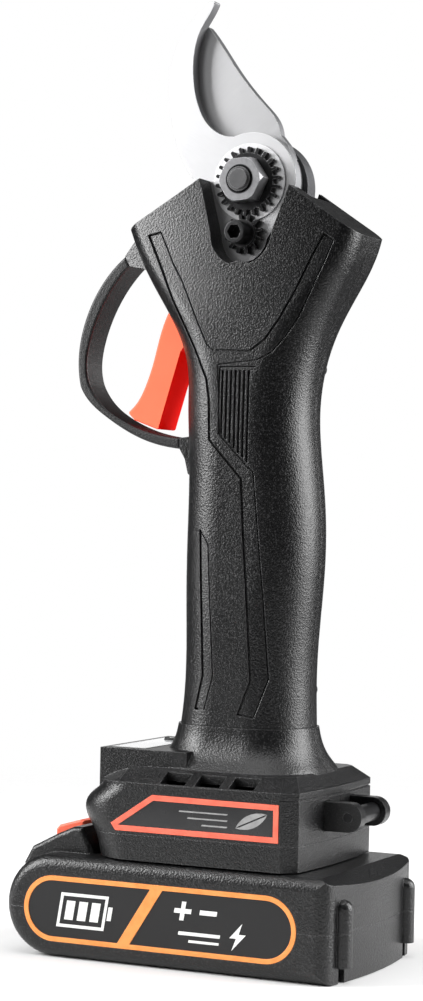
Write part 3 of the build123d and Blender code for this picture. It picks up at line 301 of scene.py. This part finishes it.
def circuit_board(name, low, high, axis="Z"):
    """Lacquered board between two faces: tracks under green lacquer, dark moulded parts above."""
    board = Finish(name, Specular_IOR_Level=0.5)
    level = board.along(axis)
    part = (level > high + 0.05).highest(level < low - 0.05)
    lanes = board.node("ShaderNodeTexVoronoi", {"distance": "MANHATTAN", "feature": "DISTANCE_TO_EDGE"},
                       {"Vector": board.place(), "Scale": 420.0})
    track = board.ramp(lanes, 0.06, 0.09)
    pads = board.ramp(board.pebbles(2.3), 0.12, 0.09)
    lacquer = board.shade(track, tint(44, 118, 62), tint(18, 74, 38))
    plated = board.shade(pads, lacquer, tint(205, 200, 188))
    marks = board.noise(1.1, 2.0)
    moulding = board.shade(marks, tint(22, 22, 24), tint(40, 40, 43))
    board.wear(Base_Color=board.shade(part, plated, moulding), Metallic=pads * (1.0 - part) * 0.9,
               Roughness=0.3 + marks * 0.2 + part * 0.15)
    return board.relief(track * (1.0 - part) * 0.6 + pads, 0.04)


PACK_BOARD_Z = (23.4, 25.0)
coat(circuit_board("pack_board", *PACK_BOARD_Z), "battery_board")


def plated_copper(name):
    """Copper with a thin bright tin plate that has begun to dull in patches."""
    copper = Finish(name)
    worn = copper.ramp(copper.noise(1.6, 4.0), 0.45, 0.75)
    drawn = copper.noise(0.18, 2.0, (14.0, 1.0, 14.0))
    copper.wear(Base_Color=copper.shade(worn, tint(214, 208, 196), tint(206, 140, 96)),
                Metallic=0.96 + drawn * 0.04, Roughness=0.2 + drawn * 0.14 + worn * 0.12)
    return copper.relief(drawn, 0.02)


coat(plated_copper("clip_copper"), "battery_terminals")


# ---------------------------------------------------------------- case screws
# Thread-forming screws in black-oxide steel close the mouldings from below and from the far side.
# The turned heads keep faint rings from the tool, and the oxide wears through on their rims.

def black_oxide(name, dark, bright, roughness):
    """Steel blackened in a salt bath: near black, with brighter rubbed edges and a turned grain."""
    oxide = Finish(name)
    cloud = oxide.noise(1.8, 4.0)
    turned = oxide.noise(0.16, 2.0, (1.0, 5.0, 1.0))
    edges = oxide.edge_wear_and_highlight(0.3)
    flats = oxide.shade(cloud, tint(dark - 8, dark - 8, dark - 7), tint(dark + 10, dark + 10, dark + 11))
    oxide.wear(Base_Color=oxide.shade(edges * 0.7, flats, tint(bright, bright, bright + 1)),
               Metallic=0.75 + edges * 0.2, Roughness=roughness + cloud * 0.14 - edges * 0.08)
    return oxide.relief(turned * 0.6 + cloud * 0.4, 0.03, 0.2)


screw_steel = black_oxide("screw_steel", 44, 150, 0.34)
coat(screw_steel, "battery_screws", "housing_screws")


# ---------------------------------------------------------------- battery labels
# A dark polyester label fills the long recess on each side, in a printed orange border.
# Its white print is a cell with charge bars, and the signs of the two poles.

label_film = Finish("label_film", Specular_IOR_Level=0.35, Coat_Roughness=0.12)
weave = label_film.noise(0.4, 2.0)
label_film.wear(Base_Color=label_film.shade(label_film.noise(18.0, 3.0), tint(18, 18, 19), tint(24, 24, 25)),
                Roughness=0.36 + weave * 0.12, Coat_Weight=0.1 + weave * 0.1)
label_film.relief(weave, 0.01)
coat(label_film, "battery_labels")


def printed_border(name, colour, deep):
    """Border in thick screen ink: an even colour, slightly deeper where the ink pooled."""
    ink = Finish(name, Specular_IOR_Level=0.45)
    pooled = ink.noise(3.5, 4.0)
    speck = ink.noise(0.35, 2.0)
    ink.wear(Base_Color=ink.shade(ink.ramp(pooled, 0.3, 0.8), tint(*colour), tint(*deep)),
             Roughness=0.34 + speck * 0.16)
    return ink.relief(speck, 0.015, 0.25)


coat(printed_border("amber_ink", (250, 158, 84), (243, 142, 68)), "battery_label_trims")

LABEL_Y = 36.4
PRINT_THICK = 0.08
CELL_SIGN = ((-39.4, 10.2), (-22.0, 21.4))
CELL_LINE = 1.0
CELL_BARS = 3
BAR_GAP = 1.5
SIGN_LEAN = 0.16


def slant(x, z, middle):
    """Lean a drawn point forward, as italic print does."""
    return (x + (z - middle) * SIGN_LEAN, z)


def frame_outline(low, high, middle):
    corners = [(low[0], low[1]), (high[0], low[1]), (high[0], high[1]), (low[0], high[1])]
    return [slant(x, z, middle) for x, z in corners]


def print_outlines():
    """Closed outlines, in X and Z, of the white print on one side."""
    (left, bottom), (right, top) = CELL_SIGN
    middle = (bottom + top) / 2
    outlines = [frame_outline((left, bottom), (right, top), middle)]
    inner_low, inner_high = (left + CELL_LINE, bottom + CELL_LINE), (right - CELL_LINE, top - CELL_LINE)
    outlines.append(frame_outline(inner_low, inner_high, middle))
    outlines.append(frame_outline((right + 0.5, middle - 2.2), (right + 2.0, middle + 2.2), middle))
    pitch = (inner_high[0] - inner_low[0] - BAR_GAP) / CELL_BARS
    for bar in range(CELL_BARS):
        start = inner_low[0] + BAR_GAP + bar * pitch
        bar_low = (start, inner_low[1] + BAR_GAP)
        bar_high = (start + pitch - BAR_GAP, inner_high[1] - BAR_GAP)
        outlines.append(frame_outline(bar_low, bar_high, middle))
    outlines.append([slant(x, z, 19.0) for x, z in cross_outline(5.4, 19.2, 3.0, 0.75)])
    outlines.append(frame_outline((11.4, 18.45), (17.4, 19.95), 19.2))
    outlines.append([slant(x, z, 12.0) for x, z in bolt_outline(24.6, 12.6, 4.4)])
    outlines.append(frame_outline((4.0, 11.6), (18.6, 12.7), 12.2))
    outlines.append(frame_outline((8.0, 9.4), (18.6, 10.2), 12.2))
    return outlines


def cross_outline(x, z, arm, half):
    """A plus sign as one outline."""
    quarter = [(half, half), (half, arm), (-half, arm), (-half, half)]
    points = []
    for turn in range(4):
        c, s = math.cos(turn * math.pi / 2), math.sin(turn * math.pi / 2)
        points += [(x + a * c - b * s, z + a * s + b * c) for a, b in quarter[:3]]
    return points


def bolt_outline(x, z, reach):
    """A spark: two slanting halves that meet at the middle."""
    shape = [(0.2, 1.0), (-0.62, -0.1), (-0.1, -0.1), (-0.3, -1.0), (0.62, 0.2), (0.06, 0.2)]
    return [(x + a * reach, z + b * reach) for a, b in shape]


def print_piece(name, outlines, side, face):
    """Thin raised print on one side of the body, in a flat curve turned into a mesh."""
    curve = bpy.data.curves.new(name, "CURVE")
    curve.dimensions = "2D"
    curve.fill_mode = "BOTH"
    curve.extrude = PRINT_THICK / 2000.0
    for outline in outlines:
        spline = curve.splines.new("POLY")
        spline.points.add(len(outline) - 1)
        for point, (x, z) in zip(spline.points, outline):
            point.co = (-side * x / 1000.0, z / 1000.0, 0.0, 1.0)
        spline.use_cyclic_u = True
    holder = bpy.data.objects.new(name + "_line", curve)
    bpy.context.scene.collection.objects.link(holder)
    bpy.context.view_layer.update()
    mesh = bpy.data.meshes.new_from_object(holder.evaluated_get(bpy.context.evaluated_depsgraph_get()))
    bpy.data.objects.remove(holder)
    lift = Matrix.Translation((0.0, side * (face + PRINT_THICK / 2) / 1000.0, 0.0))
    upright = Matrix.Rotation(math.pi / 2, 4, "X")
    outward = Matrix.Rotation(math.pi if side > 0 else 0.0, 4, "Z")
    mesh.transform(lift @ outward @ upright)
    mesh.name = name
    piece = bpy.data.objects.new(name, mesh)
    bpy.context.scene.collection.objects.link(piece)
    return piece


def white_ink():
    """Opaque white screen ink with the fine orange-peel of print on film."""
    ink = Finish("white_ink", Specular_IOR_Level=0.4)
    peel = ink.noise(0.5, 3.0)
    ink.wear(Base_Color=ink.shade(peel, tint(232, 232, 230), tint(250, 250, 249)),
             Roughness=0.4 + peel * 0.15)
    return ink.relief(peel, 0.01)


label_ink = white_ink()
for name, side in (("label_print_near", -1), ("label_print_far", 1)):
    label_print = print_piece(name, print_outlines(), side, LABEL_Y)
    coat(label_ink, label_print)
    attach(label_print, "battery")


# ---------------------------------------------------------------- battery latch
# A salmon-coloured button in tougher plastic sits in the pack's front deck on a small coil spring.
# Pressing it draws the tongue down, and the pack slides off the foot towards the front.

def coloured_plastic(name, body, deep):
    """Semi-gloss coloured plastic with a fine matt grain."""
    plastic = Finish(name, Specular_IOR_Level=0.42)
    cloud = plastic.noise(14.0, 3.0)
    grain = plastic.noise(0.45, 2.0)
    plastic.wear(Base_Color=plastic.shade(cloud, tint(*body), tint(*deep)), Roughness=0.34 + grain * 0.14)
    return plastic.relief(grain, 0.02, 0.4)


coat(coloured_plastic("latch_plastic", (246, 112, 82), (238, 98, 70)), "latch_button")


def spring_wire():
    """Bright drawn music wire with fine lines along it."""
    wire = Finish("spring_wire")
    drawn = wire.noise(0.12, 2.0, (1.0, 1.0, 0.3))
    wire.wear(Base_Color=wire.shade(drawn, tint(150, 150, 152), tint(205, 205, 207)),
              Metallic=0.97 + drawn * 0.03, Roughness=0.22 + drawn * 0.12)
    return wire.relief(drawn, 0.02)


spring_steel = spring_wire()
coat(spring_steel, "latch_spring", "trigger_spring")
latch_travel = next(joint["range_m"][1] for joint in frame["joints"] if joint["name"] == "latch_press")
spring_low, spring_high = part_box("latch_spring")
spring_length = spring_high.z - spring_low.z
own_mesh(frame["nodes"]["latch_spring"], "latch_press", axis=(0.0, 0.0, 1.0), anchor=tuple(spring_low),
          keep=(spring_length - latch_travel) / spring_length)


# ---------------------------------------------------------------- foot contacts and boards
# The foot's T-slot frame holds a pale moulded block with two plated blades for the pack's clips.
# The control board lies over it, and a display board sits under the window at the front.

coat(plated_copper("blade_copper"), "tool_terminals")

block_resin = Finish("block_resin", Specular_IOR_Level=0.4)
flow = block_resin.noise(2.8, 4.0, (1.0, 3.0, 1.0))
block_resin.wear(Base_Color=block_resin.shade(flow, tint(176, 170, 148), tint(206, 200, 180)),
                 Roughness=0.44 + flow * 0.14)
block_resin.relief(flow, 0.03)
coat(block_resin, "terminal_block")

CONTROL_BOARD_Z = (97.0, 98.6)
DISPLAY_BOARD_Z = (60.4, 61.8)
SENSOR_BOARD_X = (-7.9, -6.8)
coat(circuit_board("control_lacquer", *CONTROL_BOARD_Z), "control_board")
coat(circuit_board("display_lacquer", *DISPLAY_BOARD_Z), "display_board")
coat(circuit_board("sensor_lacquer", *SENSOR_BOARD_X, "X"), "trigger_sensor")


# ---------------------------------------------------------------- foot shells
# The foot is two black nylon halves round the rail frame, flared up to the neck of the grip.
# They carry the same leathery grain as the pack, and a fine seam runs where they meet.

foot_nylon = grained_nylon("foot_nylon", 8, 0.6, 0.13, 0.26, seam=True)
coat(foot_nylon, "foot_shell_near", "foot_shell_far", "rail_frame")


# ---------------------------------------------------------------- display window and power button
# A pale smoked panel covers the charge display, let into the top of the foot in front of the grip.
# Beside it, the power button is a small black disc with a ring moulded round its middle.

window_panel = Finish("window_panel", Specular_IOR_Level=0.55, Coat_Roughness=0.05)
low, high = (corner * 1000.0 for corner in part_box("display_window"))
from_middle_x = abs(window_panel.along("X") - (low.x + high.x) / 2) / ((high.x - low.x) / 2)
from_middle_y = abs(window_panel.along("Y") - (low.y + high.y) / 2) / ((high.y - low.y) / 2)
mask_band = window_panel.ramp(from_middle_x, 0.84, 0.88).highest(window_panel.ramp(from_middle_y, 0.9, 0.92))
haze = window_panel.noise(7.0, 3.0)
clear = window_panel.shade(haze, tint(226, 228, 230), tint(238, 240, 242))
window_panel.wear(Base_Color=window_panel.shade(mask_band, clear, tint(60, 61, 63)),
                  Roughness=0.12 + haze * 0.08, Coat_Weight=0.5 + haze * 0.2)
coat(window_panel, "display_window")

button_rubber = Finish("button_rubber", Specular_IOR_Level=0.35)
BUTTON_X, BUTTON_Y = (sum(c[i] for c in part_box("power_button")) * 500.0 for i in (0, 1))
off_x, off_y = button_rubber.along("X") - BUTTON_X, button_rubber.along("Y") - BUTTON_Y
reach = button_rubber.root(off_x * off_x + off_y * off_y)
ring_mark = button_rubber.ramp(reach, 1.3, 1.4) - button_rubber.ramp(reach, 1.8, 1.9)
dust = button_rubber.noise(0.6, 3.0)
dusty = button_rubber.shade(dust, tint(30, 30, 31), tint(44, 44, 45))
button_rubber.wear(Base_Color=button_rubber.shade(ring_mark, dusty, tint(210, 210, 210)),
                   Roughness=0.5 + dust * 0.2)
button_rubber.relief(dust + ring_mark, 0.04, 0.3)
coat(button_rubber, "power_button")


# ---------------------------------------------------------------- foot badges
# A glossy black badge fills each side of the foot in a raised salmon border.
# The print on it is a plain leaf with a row of fine lines.

badge_gloss = Finish("badge_gloss", Specular_IOR_Level=0.55, Coat_Roughness=0.08)
ripple = badge_gloss.noise(6.0, 3.0)
badge_gloss.wear(Base_Color=badge_gloss.shade(ripple, tint(18, 18, 20), tint(26, 26, 28)),
                 Roughness=0.2 + ripple * 0.12, Coat_Weight=0.5 + ripple * 0.2)
badge_gloss.relief(ripple, 0.02)
coat(badge_gloss, "foot_badges")
coat(printed_border("salmon_ink", (246, 116, 92), (236, 102, 80)), "foot_badge_trims")

BADGE_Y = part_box("foot_badges")[1].y * 1000.0
LEAF = ((22.0, 46.4), (33.0, 51.4))
LEAF_POINTS = 10


def leaf_outlines():
    """A leaf with a slit along its middle, and three short lines before it, in X and Z."""
    (x0, z0), (x1, z1) = LEAF
    length, fall = x1 - x0, z1 - z0
    sides = []
    for way in (1.0, -1.0):
        edge = []
        for step in range(LEAF_POINTS + 1):
            t = step / LEAF_POINTS
            swell = math.sin(math.pi * t) ** 0.8
            edge.append((x0 + length * t - way * 1.0 * swell, z0 + fall * t + way * 1.9 * swell))
        inner = [(x0 + length * t - way * 0.12, z0 + fall * t + way * 0.22) for t in (0.9, 0.5, 0.12)]
        sides.append(edge + inner)
    lines = [[(a, z), (b, z), (b + 0.3, z + 0.45), (a + 0.3, z + 0.45)]
             for a, b, z in ((2.0, 19.0, 50.2), (5.0, 19.0, 48.2), (10.0, 19.0, 46.2))]
    return sides + lines


def grey_ink():
    """Silver-grey ink, slightly translucent, printed in fine marks."""
    ink = Finish("grey_ink", Specular_IOR_Level=0.45)
    fade = ink.noise(2.2, 4.0)
    ink.wear(Base_Color=ink.shade(fade, tint(120, 120, 120), tint(176, 176, 176)),
             Roughness=0.36 + fade * 0.2)
    return ink.relief(fade, 0.01)


badge_ink = grey_ink()
for name, side in (("badge_print_near", -1), ("badge_print_far", 1)):
    badge_print = print_piece(name, leaf_outlines(), side, BADGE_Y)
    coat(badge_ink, badge_print)
    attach(badge_print, "housing")


# ---------------------------------------------------------------- lanyard bracket
# Two black ears on a plate at the back of the foot, with a steel pin across them for a wrist strap.
# The pin is a plain turned bar with a blackened finish, rubbed bright along its edges.

bracket_nylon = grained_nylon("bracket_nylon", 8, 0.5, 0.05, 0.26)
coat(bracket_nylon, "lanyard_bracket")
coat(black_oxide("pin_steel", 40, 120, 0.26), "lanyard_pin")


# ---------------------------------------------------------------- motor
# A round direct-current motor stands in the grip: rolled and plated can, ferrite magnets,
# a laminated iron rotor wound with lacquered copper, and a black moulded cap at the brush end.

can_zinc = Finish("can_zinc")
rolled = can_zinc.noise(0.2, 2.0, (1.0, 1.0, 26.0))
bloom = can_zinc.noise(9.0, 4.0)
can_zinc.wear(Base_Color=can_zinc.shade(bloom, tint(150, 151, 153), tint(186, 187, 189)),
              Metallic=0.94 + rolled * 0.06, Roughness=0.3 + bloom * 0.16)
can_zinc.relief(rolled, 0.02, 0.3)
coat(can_zinc, "motor_can")

ferrite = Finish("ferrite", Specular_IOR_Level=0.4)
fired = ferrite.noise(0.4, 4.0)
ferrite.wear(Base_Color=ferrite.shade(fired, tint(38, 38, 40), tint(66, 66, 68)), Roughness=0.6 + fired * 0.2)
ferrite.relief(fired, 0.03)
coat(ferrite, "motor_magnets", "trigger_magnet")

cap_resin = grained_nylon("cap_resin", 30, 0.5, 0.03, 0.5)
coat(cap_resin, "motor_end_cap")

LAMINATION = 0.5
WINDING_RIM = (9.9, 9.8)
WINDING_ROOT = (6.0, 6.1)
rotor_iron = Finish("rotor_iron")
height = rotor_iron.along("Z")
axis_x = sum(corner.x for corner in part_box("motor_rotor")) * 500.0
off_axis = rotor_iron.along("X") - axis_x
out = rotor_iron.along("Y")
radius = rotor_iron.root(off_axis * off_axis + out * out)
sheets = rotor_iron.ramp(height.rest_of(LAMINATION), 0.36, 0.46)
slots = rotor_iron.ramp(radius, *WINDING_RIM) * rotor_iron.ramp(radius, *WINDING_ROOT)
turns = rotor_iron.noise(0.3, 2.0, (1.0, 1.0, 20.0))
iron = rotor_iron.shade(sheets, tint(142, 141, 140), tint(84, 83, 82))
wound = rotor_iron.shade(turns, tint(158, 84, 40), tint(206, 128, 72))
rotor_iron.wear(Base_Color=rotor_iron.shade(slots, iron, wound), Metallic=0.9 + turns * 0.1,
                Roughness=0.3 + sheets * 0.2 + turns * 0.1)
rotor_iron.relief(turns * slots + sheets, 0.04)
coat(rotor_iron, "motor_rotor")

lead_sleeve = Finish("lead_sleeve", Specular_IOR_Level=0.45)
other_lead = lead_sleeve.along("Y") > 0.0
wrinkle = lead_sleeve.noise(0.8, 3.0)
red_lead = lead_sleeve.shade(wrinkle, tint(150, 20, 16), tint(186, 34, 26))
lead_sleeve.wear(Base_Color=lead_sleeve.shade(other_lead, red_lead, tint(30, 30, 32)),
                 Roughness=0.36 + wrinkle * 0.14)
lead_sleeve.relief(wrinkle, 0.04)
coat(lead_sleeve, "motor_leads")


# ---------------------------------------------------------------- planetary and bevel gears
# The reduction gear: sun, three planets and a moulded ring, then a bevel pair and the blade's pinion.
# The steel wheels are sintered and oiled, so they are satin grey, with darker, wetter patches of grease.

def oiled_gear(name, tone):
    """Satin gear steel with patches of grease film and bright rubbed tooth tips."""
    gear = Finish(name, Coat_Roughness=0.2)
    pores = gear.noise(0.3, 3.0)
    grease = gear.ramp(gear.noise(2.6, 4.0), 0.48, 0.7)
    tips = gear.edge_wear_and_highlight(0.25)
    steel = gear.shade(pores, tint(tone - 18, tone - 18, tone - 16), tint(tone + 12, tone + 12, tone + 13))
    greased = gear.shade(grease * 0.5, steel, tint(88, 76, 52))
    gear.wear(Base_Color=gear.shade(tips * 0.6, greased, tint(214, 214, 214)), Metallic=0.92 + tips * 0.08,
              Roughness=0.3 + pores * 0.16 - grease * 0.08, Coat_Weight=grease * 0.5)
    return gear.relief(pores, 0.03, 0.15)


coat(oiled_gear("gear_steel", 150), "drive_pinion", "bevel_gear", "bevel_pinion", "sun_gear")
coat(oiled_gear("planet_steel", 138), "planet_gear_1", "planet_gear_2", "planet_gear_3")
coat(oiled_gear("carrier_steel", 160), "planet_carrier", "planet_pins")
coat(oiled_gear("bearing_steel", 176), "shaft_bearings")
coat(grained_nylon("ring_resin", 38, 0.5, 0.03, 0.42), "ring_gear")


# ---------------------------------------------------------------- grip shells
# The grip is two long nylon halves screwed together from the far side, forked at the top.
# Its grain is the foot's, and the sunken bands on both sides were left by the mould's inserts.

RIDGE_X = 10.0
RIDGE_SWELL = 0.0024


def head_crown(nylon):
    """The forked head's sides swell towards a soft ridge below the notch."""
    from_ridge = nylon.along("X") - RIDGE_X
    return from_ridge * from_ridge * nylon.ramp(nylon.along("Z"), 188.0, 222.0) * -RIDGE_SWELL


grip_nylon = grained_nylon("grip_nylon", 8, 0.6, 0.13, 0.26, head_crown, seam=True)
coat(grip_nylon, "handle_shell_near", "handle_shell_far")


# ---------------------------------------------------------------- trigger and guard
# The trigger is a hollow orange-red lever on a steel pin; its flat sides are painted paler than its rounded
# faces as a painted highlight, and the whole lever has a painted glow.
# A black nylon bow guards it, moulded with the shells' own grain.

# The plastic glows with its own colour at strength 0.34: painted light, for the trigger is no lamp.
trigger_plastic = Finish("trigger_plastic", Specular_IOR_Level=0.1, Emission_Strength=0.34)
cloud = trigger_plastic.noise(14.0, 3.0)
fine = trigger_plastic.noise(0.45, 2.0)
# The flat sides, picked out by facing along Y, are painted salmon over the deep red: a painted highlight
# where they catch the light.
sides = trigger_plastic.ramp(abs(trigger_plastic.facing("Y")), 0.55, 0.8)
deep_red = trigger_plastic.shade(cloud, tint(255, 14, 4), tint(250, 8, 2))
salmon = trigger_plastic.shade(cloud, tint(238, 112, 82), tint(236, 104, 74))
dye_and_painted_light = trigger_plastic.shade(sides, deep_red, salmon)
trigger_plastic.wear(Base_Color=dye_and_painted_light, Emission_Color=dye_and_painted_light, Roughness=0.42 + fine * 0.12)
trigger_plastic.relief(fine, 0.02, 0.4)
coat(trigger_plastic, "trigger")

pin_bright = oiled_gear("trigger_pin_steel", 168)
coat(pin_bright, "trigger_pin")
coat(grained_nylon("guard_nylon", 5, 0.5, 0.08, 0.4), "trigger_guard")


# ---------------------------------------------------------------- head frame and bush
# A die-cast alloy frame carries the blades' bolt and the gearbox; the casting is left rough and dark.
# A sintered bronze bush, soaked in oil, runs inside the blade's hub.

casting = Finish("casting")
sand = casting.noise(0.55, 4.0)
patch = casting.noise(5.0, 3.0)
rim = casting.edge_wear_and_highlight(0.5)
raw = casting.shade(patch, tint(58, 58, 60), tint(88, 88, 90))
casting.wear(Base_Color=casting.shade(rim * 0.6, raw, tint(150, 150, 152)), Metallic=0.85 + rim * 0.1,
             Roughness=0.42 + sand * 0.2)
casting.relief(sand, 0.12, 0.5)
coat(casting, "head_frame")

bronze = Finish("bronze")
pores = bronze.noise(0.2, 3.0)
bronze.wear(Base_Color=bronze.shade(pores, tint(150, 106, 52), tint(196, 148, 84)),
            Metallic=0.94 + pores * 0.06, Roughness=0.3 + pores * 0.2)
bronze.relief(pores, 0.02)
coat(bronze, "pivot_bush")


# ---------------------------------------------------------------- hook, blade and washer
# Both blades are cut from high-carbon steel plate, ground flat and polished across their length.
# The edges are stoned to a bevel; the walls round each blade are painted darker than the flats as painted
# shade, and their rims carry a painted highlight.

def ground_steel(name, tone, across, turn, roughness):
    """Flat-ground blade steel: long fine grinding lines, painted highlights along the softly rounded edges,
    and painted shade on the walls between the flat faces.
    """
    steel = Finish(name)
    lines = steel.noise(0.22, 3.0, across, turn)
    cloud = steel.noise(12.0, 3.0)
    # Painted highlight: the rounded edges are lightened to near white.
    edges = steel.edge_wear_and_highlight(0.3)
    # Painted shade: faces that do not face along Y, the walls of the plate, are darkened by which way they
    # turn.
    painted_wall_shade = 1.0 - steel.ramp(abs(steel.facing("Y")), 0.5, 0.85)
    dull = tint(tone - 16, tone - 16, tone - 14)
    ground = steel.shade(lines * 0.6 + cloud * 0.4, dull, tint(tone, tone, tone + 1))
    wall_shaded = steel.shade(painted_wall_shade, ground, tint(tone - 74, tone - 74, tone - 72))
    steel.wear(Base_Color=steel.shade(edges * 0.5, wall_shaded, tint(250, 250, 250)), Metallic=0.95 + edges * 0.05,
               Roughness=roughness + lines * 0.12 + painted_wall_shade * 0.08)
    return steel.relief(lines, 0.006, 0.2)


hook_steel = ground_steel("hook_steel", 216, (24.0, 1.0, 1.0), (0.0, 0.5, 0.0), 0.34)
blade_steel = ground_steel("blade_steel", 196, (24.0, 1.0, 1.0), (0.0, -0.6, 0.0), 0.32)
washer_steel = ground_steel("washer_steel", 254, (6.0, 1.0, 6.0), (0.0, 0.0, 0.0), 0.28)
coat(hook_steel, "hook_blade")
coat(blade_steel, "cutting_blade")
coat(washer_steel, "pivot_washer")


# ---------------------------------------------------------------- pivot nut and lock gears
# A zinc-plated nut clamps the blades on the blackened bolt; a toothed disc under it meshes with a
# small lock gear, and a socket screw through that gear keeps the nut from working loose.

PIVOT = tuple(frame["joints"][0]["pos_m"][axis] * 1000.0 for axis in (0, 2))
BORE_EDGE = (5.0, 4.6)
nut_zinc = Finish("nut_zinc")
spangle = nut_zinc.noise(1.2, 4.0)
turned = nut_zinc.noise(0.2, 2.0, (1.0, 6.0, 1.0))
worn = nut_zinc.edge_wear_and_highlight(0.35)
across_x, across_z = nut_zinc.along("X") - PIVOT[0], nut_zinc.along("Z") - PIVOT[1]
from_bolt = nut_zinc.root(across_x * across_x + across_z * across_z)
# Painted shade: the bore round the bolt is painted near black, for the dark gap between nut and bolt.
bore_shade = nut_zinc.ramp(from_bolt, *BORE_EDGE)
plate = nut_zinc.shade(spangle, tint(120, 120, 122), tint(152, 152, 154))
worn_plate_and_bore_shade = nut_zinc.shade(bore_shade, nut_zinc.shade(worn * 0.6, plate, tint(224, 224, 226)), tint(26, 26, 27))
nut_zinc.wear(Base_Color=worn_plate_and_bore_shade, Metallic=0.9 + worn * 0.1, Roughness=0.36 + turned * 0.16)
nut_zinc.relief(spangle * 0.5 + turned * 0.5, 0.04, 0.3)
coat(nut_zinc, "pivot_nut")

coat(black_oxide("bolt_oxide", 84, 150, 0.38), "pivot_bolt")
coat(black_oxide("lock_oxide", 40, 168, 0.3), "lock_disc", "lock_gear")
coat(black_oxide("lock_screw_oxide", 46, 130, 0.34), "lock_screw")


# ---------------------------------------------------------------- floor, lights and camera
# The pruner stands on its battery on a round white table, under large soft lights.
# A tall light stands at each side, a wide one hangs overhead, and two small ones fill the front and back.

FLOOR_R = 0.62
floor_mesh = bpy.data.meshes.new("floor")
floor_mesh.from_pydata([(math.cos(i * math.pi / 48) * FLOOR_R, math.sin(i * math.pi / 48) * FLOOR_R, -0.0002)
                        for i in range(96)], [], [tuple(range(96))])
floor = bpy.data.objects.new("floor", floor_mesh)
bpy.context.scene.collection.objects.link(floor)
table_white = Finish("table_white", Roughness=0.75, Specular_IOR_Level=0.2)
from_centre = table_white.node("ShaderNodeVectorMath", {"operation": "LENGTH"},
                               {0: table_white.place()}, "Value")
mottled = table_white.noise(60.0, 2.0)
table_white.wear(Base_Color=table_white.shade(mottled, tint(222, 222, 222), tint(226, 226, 226)),
                 Alpha=table_white.ramp(from_centre, FLOOR_R * 0.98, FLOOR_R * 0.35))
coat(table_white, floor)
floor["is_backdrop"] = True


def softbox(name, place, aim, width, height, power):
    """A large even light that points at a spot on the object."""
    lamp = bpy.data.lights.new(name, "AREA")
    lamp.shape = "RECTANGLE"
    lamp.size = width
    lamp.size_y = height
    lamp.energy = power
    stand = bpy.data.objects.new(name, lamp)
    stand.location = place
    stand.rotation_mode = "QUATERNION"
    stand.rotation_quaternion = (Vector(aim) - Vector(place)).to_track_quat("-Z", "Y")
    bpy.context.scene.collection.objects.link(stand)


CAMERA_TURN = math.radians(25.54)
CAMERA_TILT = math.radians(-0.24)
CAMERA_ROLL = math.radians(1.26)


def round_the_object(degrees, distance, height):
    """A place at an angle from the camera's own direction, positive to its right."""
    turn = CAMERA_TURN + math.radians(degrees)
    return (math.sin(turn) * distance, -math.cos(turn) * distance, height)


softbox("left_softbox", round_the_object(-84.0, 0.8, 0.5), (0.0, 0.0, 0.22), 0.36, 0.7, 13.5)
softbox("right_softbox", round_the_object(90.0, 0.9, 0.5), (0.0, 0.0, 0.16), 0.75, 1.0, 21.0)
softbox("overhead_softbox", (0.0, -0.2, 1.1), (0.0, 0.0, 0.05), 0.9, 0.9, 7.0)
softbox("front_softbox", round_the_object(-50.0, 0.8, 0.42), (0.0, 0.0, 0.24), 0.3, 0.25, 0.17)
softbox("back_softbox", round_the_object(180.0, 0.9, 0.2), (0.0, 0.0, 0.1), 0.5, 0.3, 0.42)

class Surroundings(Finish):
    """The room's own shader, built with the same methods as a material's."""

    def __init__(self, name):
        self.world = bpy.data.worlds.new(name)
        self.world.use_nodes = True
        self.tree = self.world.node_tree


WHITE = (1.0, 1.0, 1.0, 1.0)
ROOM_GLOW = 0.06
room = Surroundings("white_room")
bpy.context.scene.world = room.world
backdrop = room.node("ShaderNodeBackground", {}, {"Color": WHITE, "Strength": 1.0})
fill = room.node("ShaderNodeBackground", {}, {"Color": WHITE, "Strength": ROOM_GLOW})
seen_directly = room.node("ShaderNodeLightPath", {}, {}, "Is Camera Ray")
split = room.node("ShaderNodeMixShader", {}, {0: seen_directly, 1: fill, 2: backdrop})
room.feed(room.tree.nodes["World Output"].inputs["Surface"], split)
bpy.context.scene.view_settings.view_transform = "Standard"

SENSOR = 36.0
FOCAL_SHARE = 2434.3 / 1001.0
CAMERA_PLACE = (0.34420, -0.73083, 0.14443)
lens = bpy.data.cameras.new("camera")
lens.sensor_width = SENSOR
lens.lens = FOCAL_SHARE * SENSOR
lens.shift_y = 0.006
lens.clip_start = 0.05
camera = bpy.data.objects.new("camera", lens)
bpy.context.scene.collection.objects.link(camera)
bpy.context.scene.camera = camera
level = math.cos(CAMERA_TILT)
backward = Vector((math.sin(CAMERA_TURN) * level, -math.cos(CAMERA_TURN) * level, math.sin(CAMERA_TILT)))
level_right = Vector((math.cos(CAMERA_TURN), math.sin(CAMERA_TURN), 0.0))
level_up = backward.cross(level_right)
camera_x = math.cos(CAMERA_ROLL) * level_right + math.sin(CAMERA_ROLL) * level_up
camera_y = -math.sin(CAMERA_ROLL) * level_right + math.cos(CAMERA_ROLL) * level_up
camera.matrix_world = Matrix.Translation(CAMERA_PLACE) @ Matrix(
    (camera_x, camera_y, backward)).transposed().to_4x4()

low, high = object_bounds()
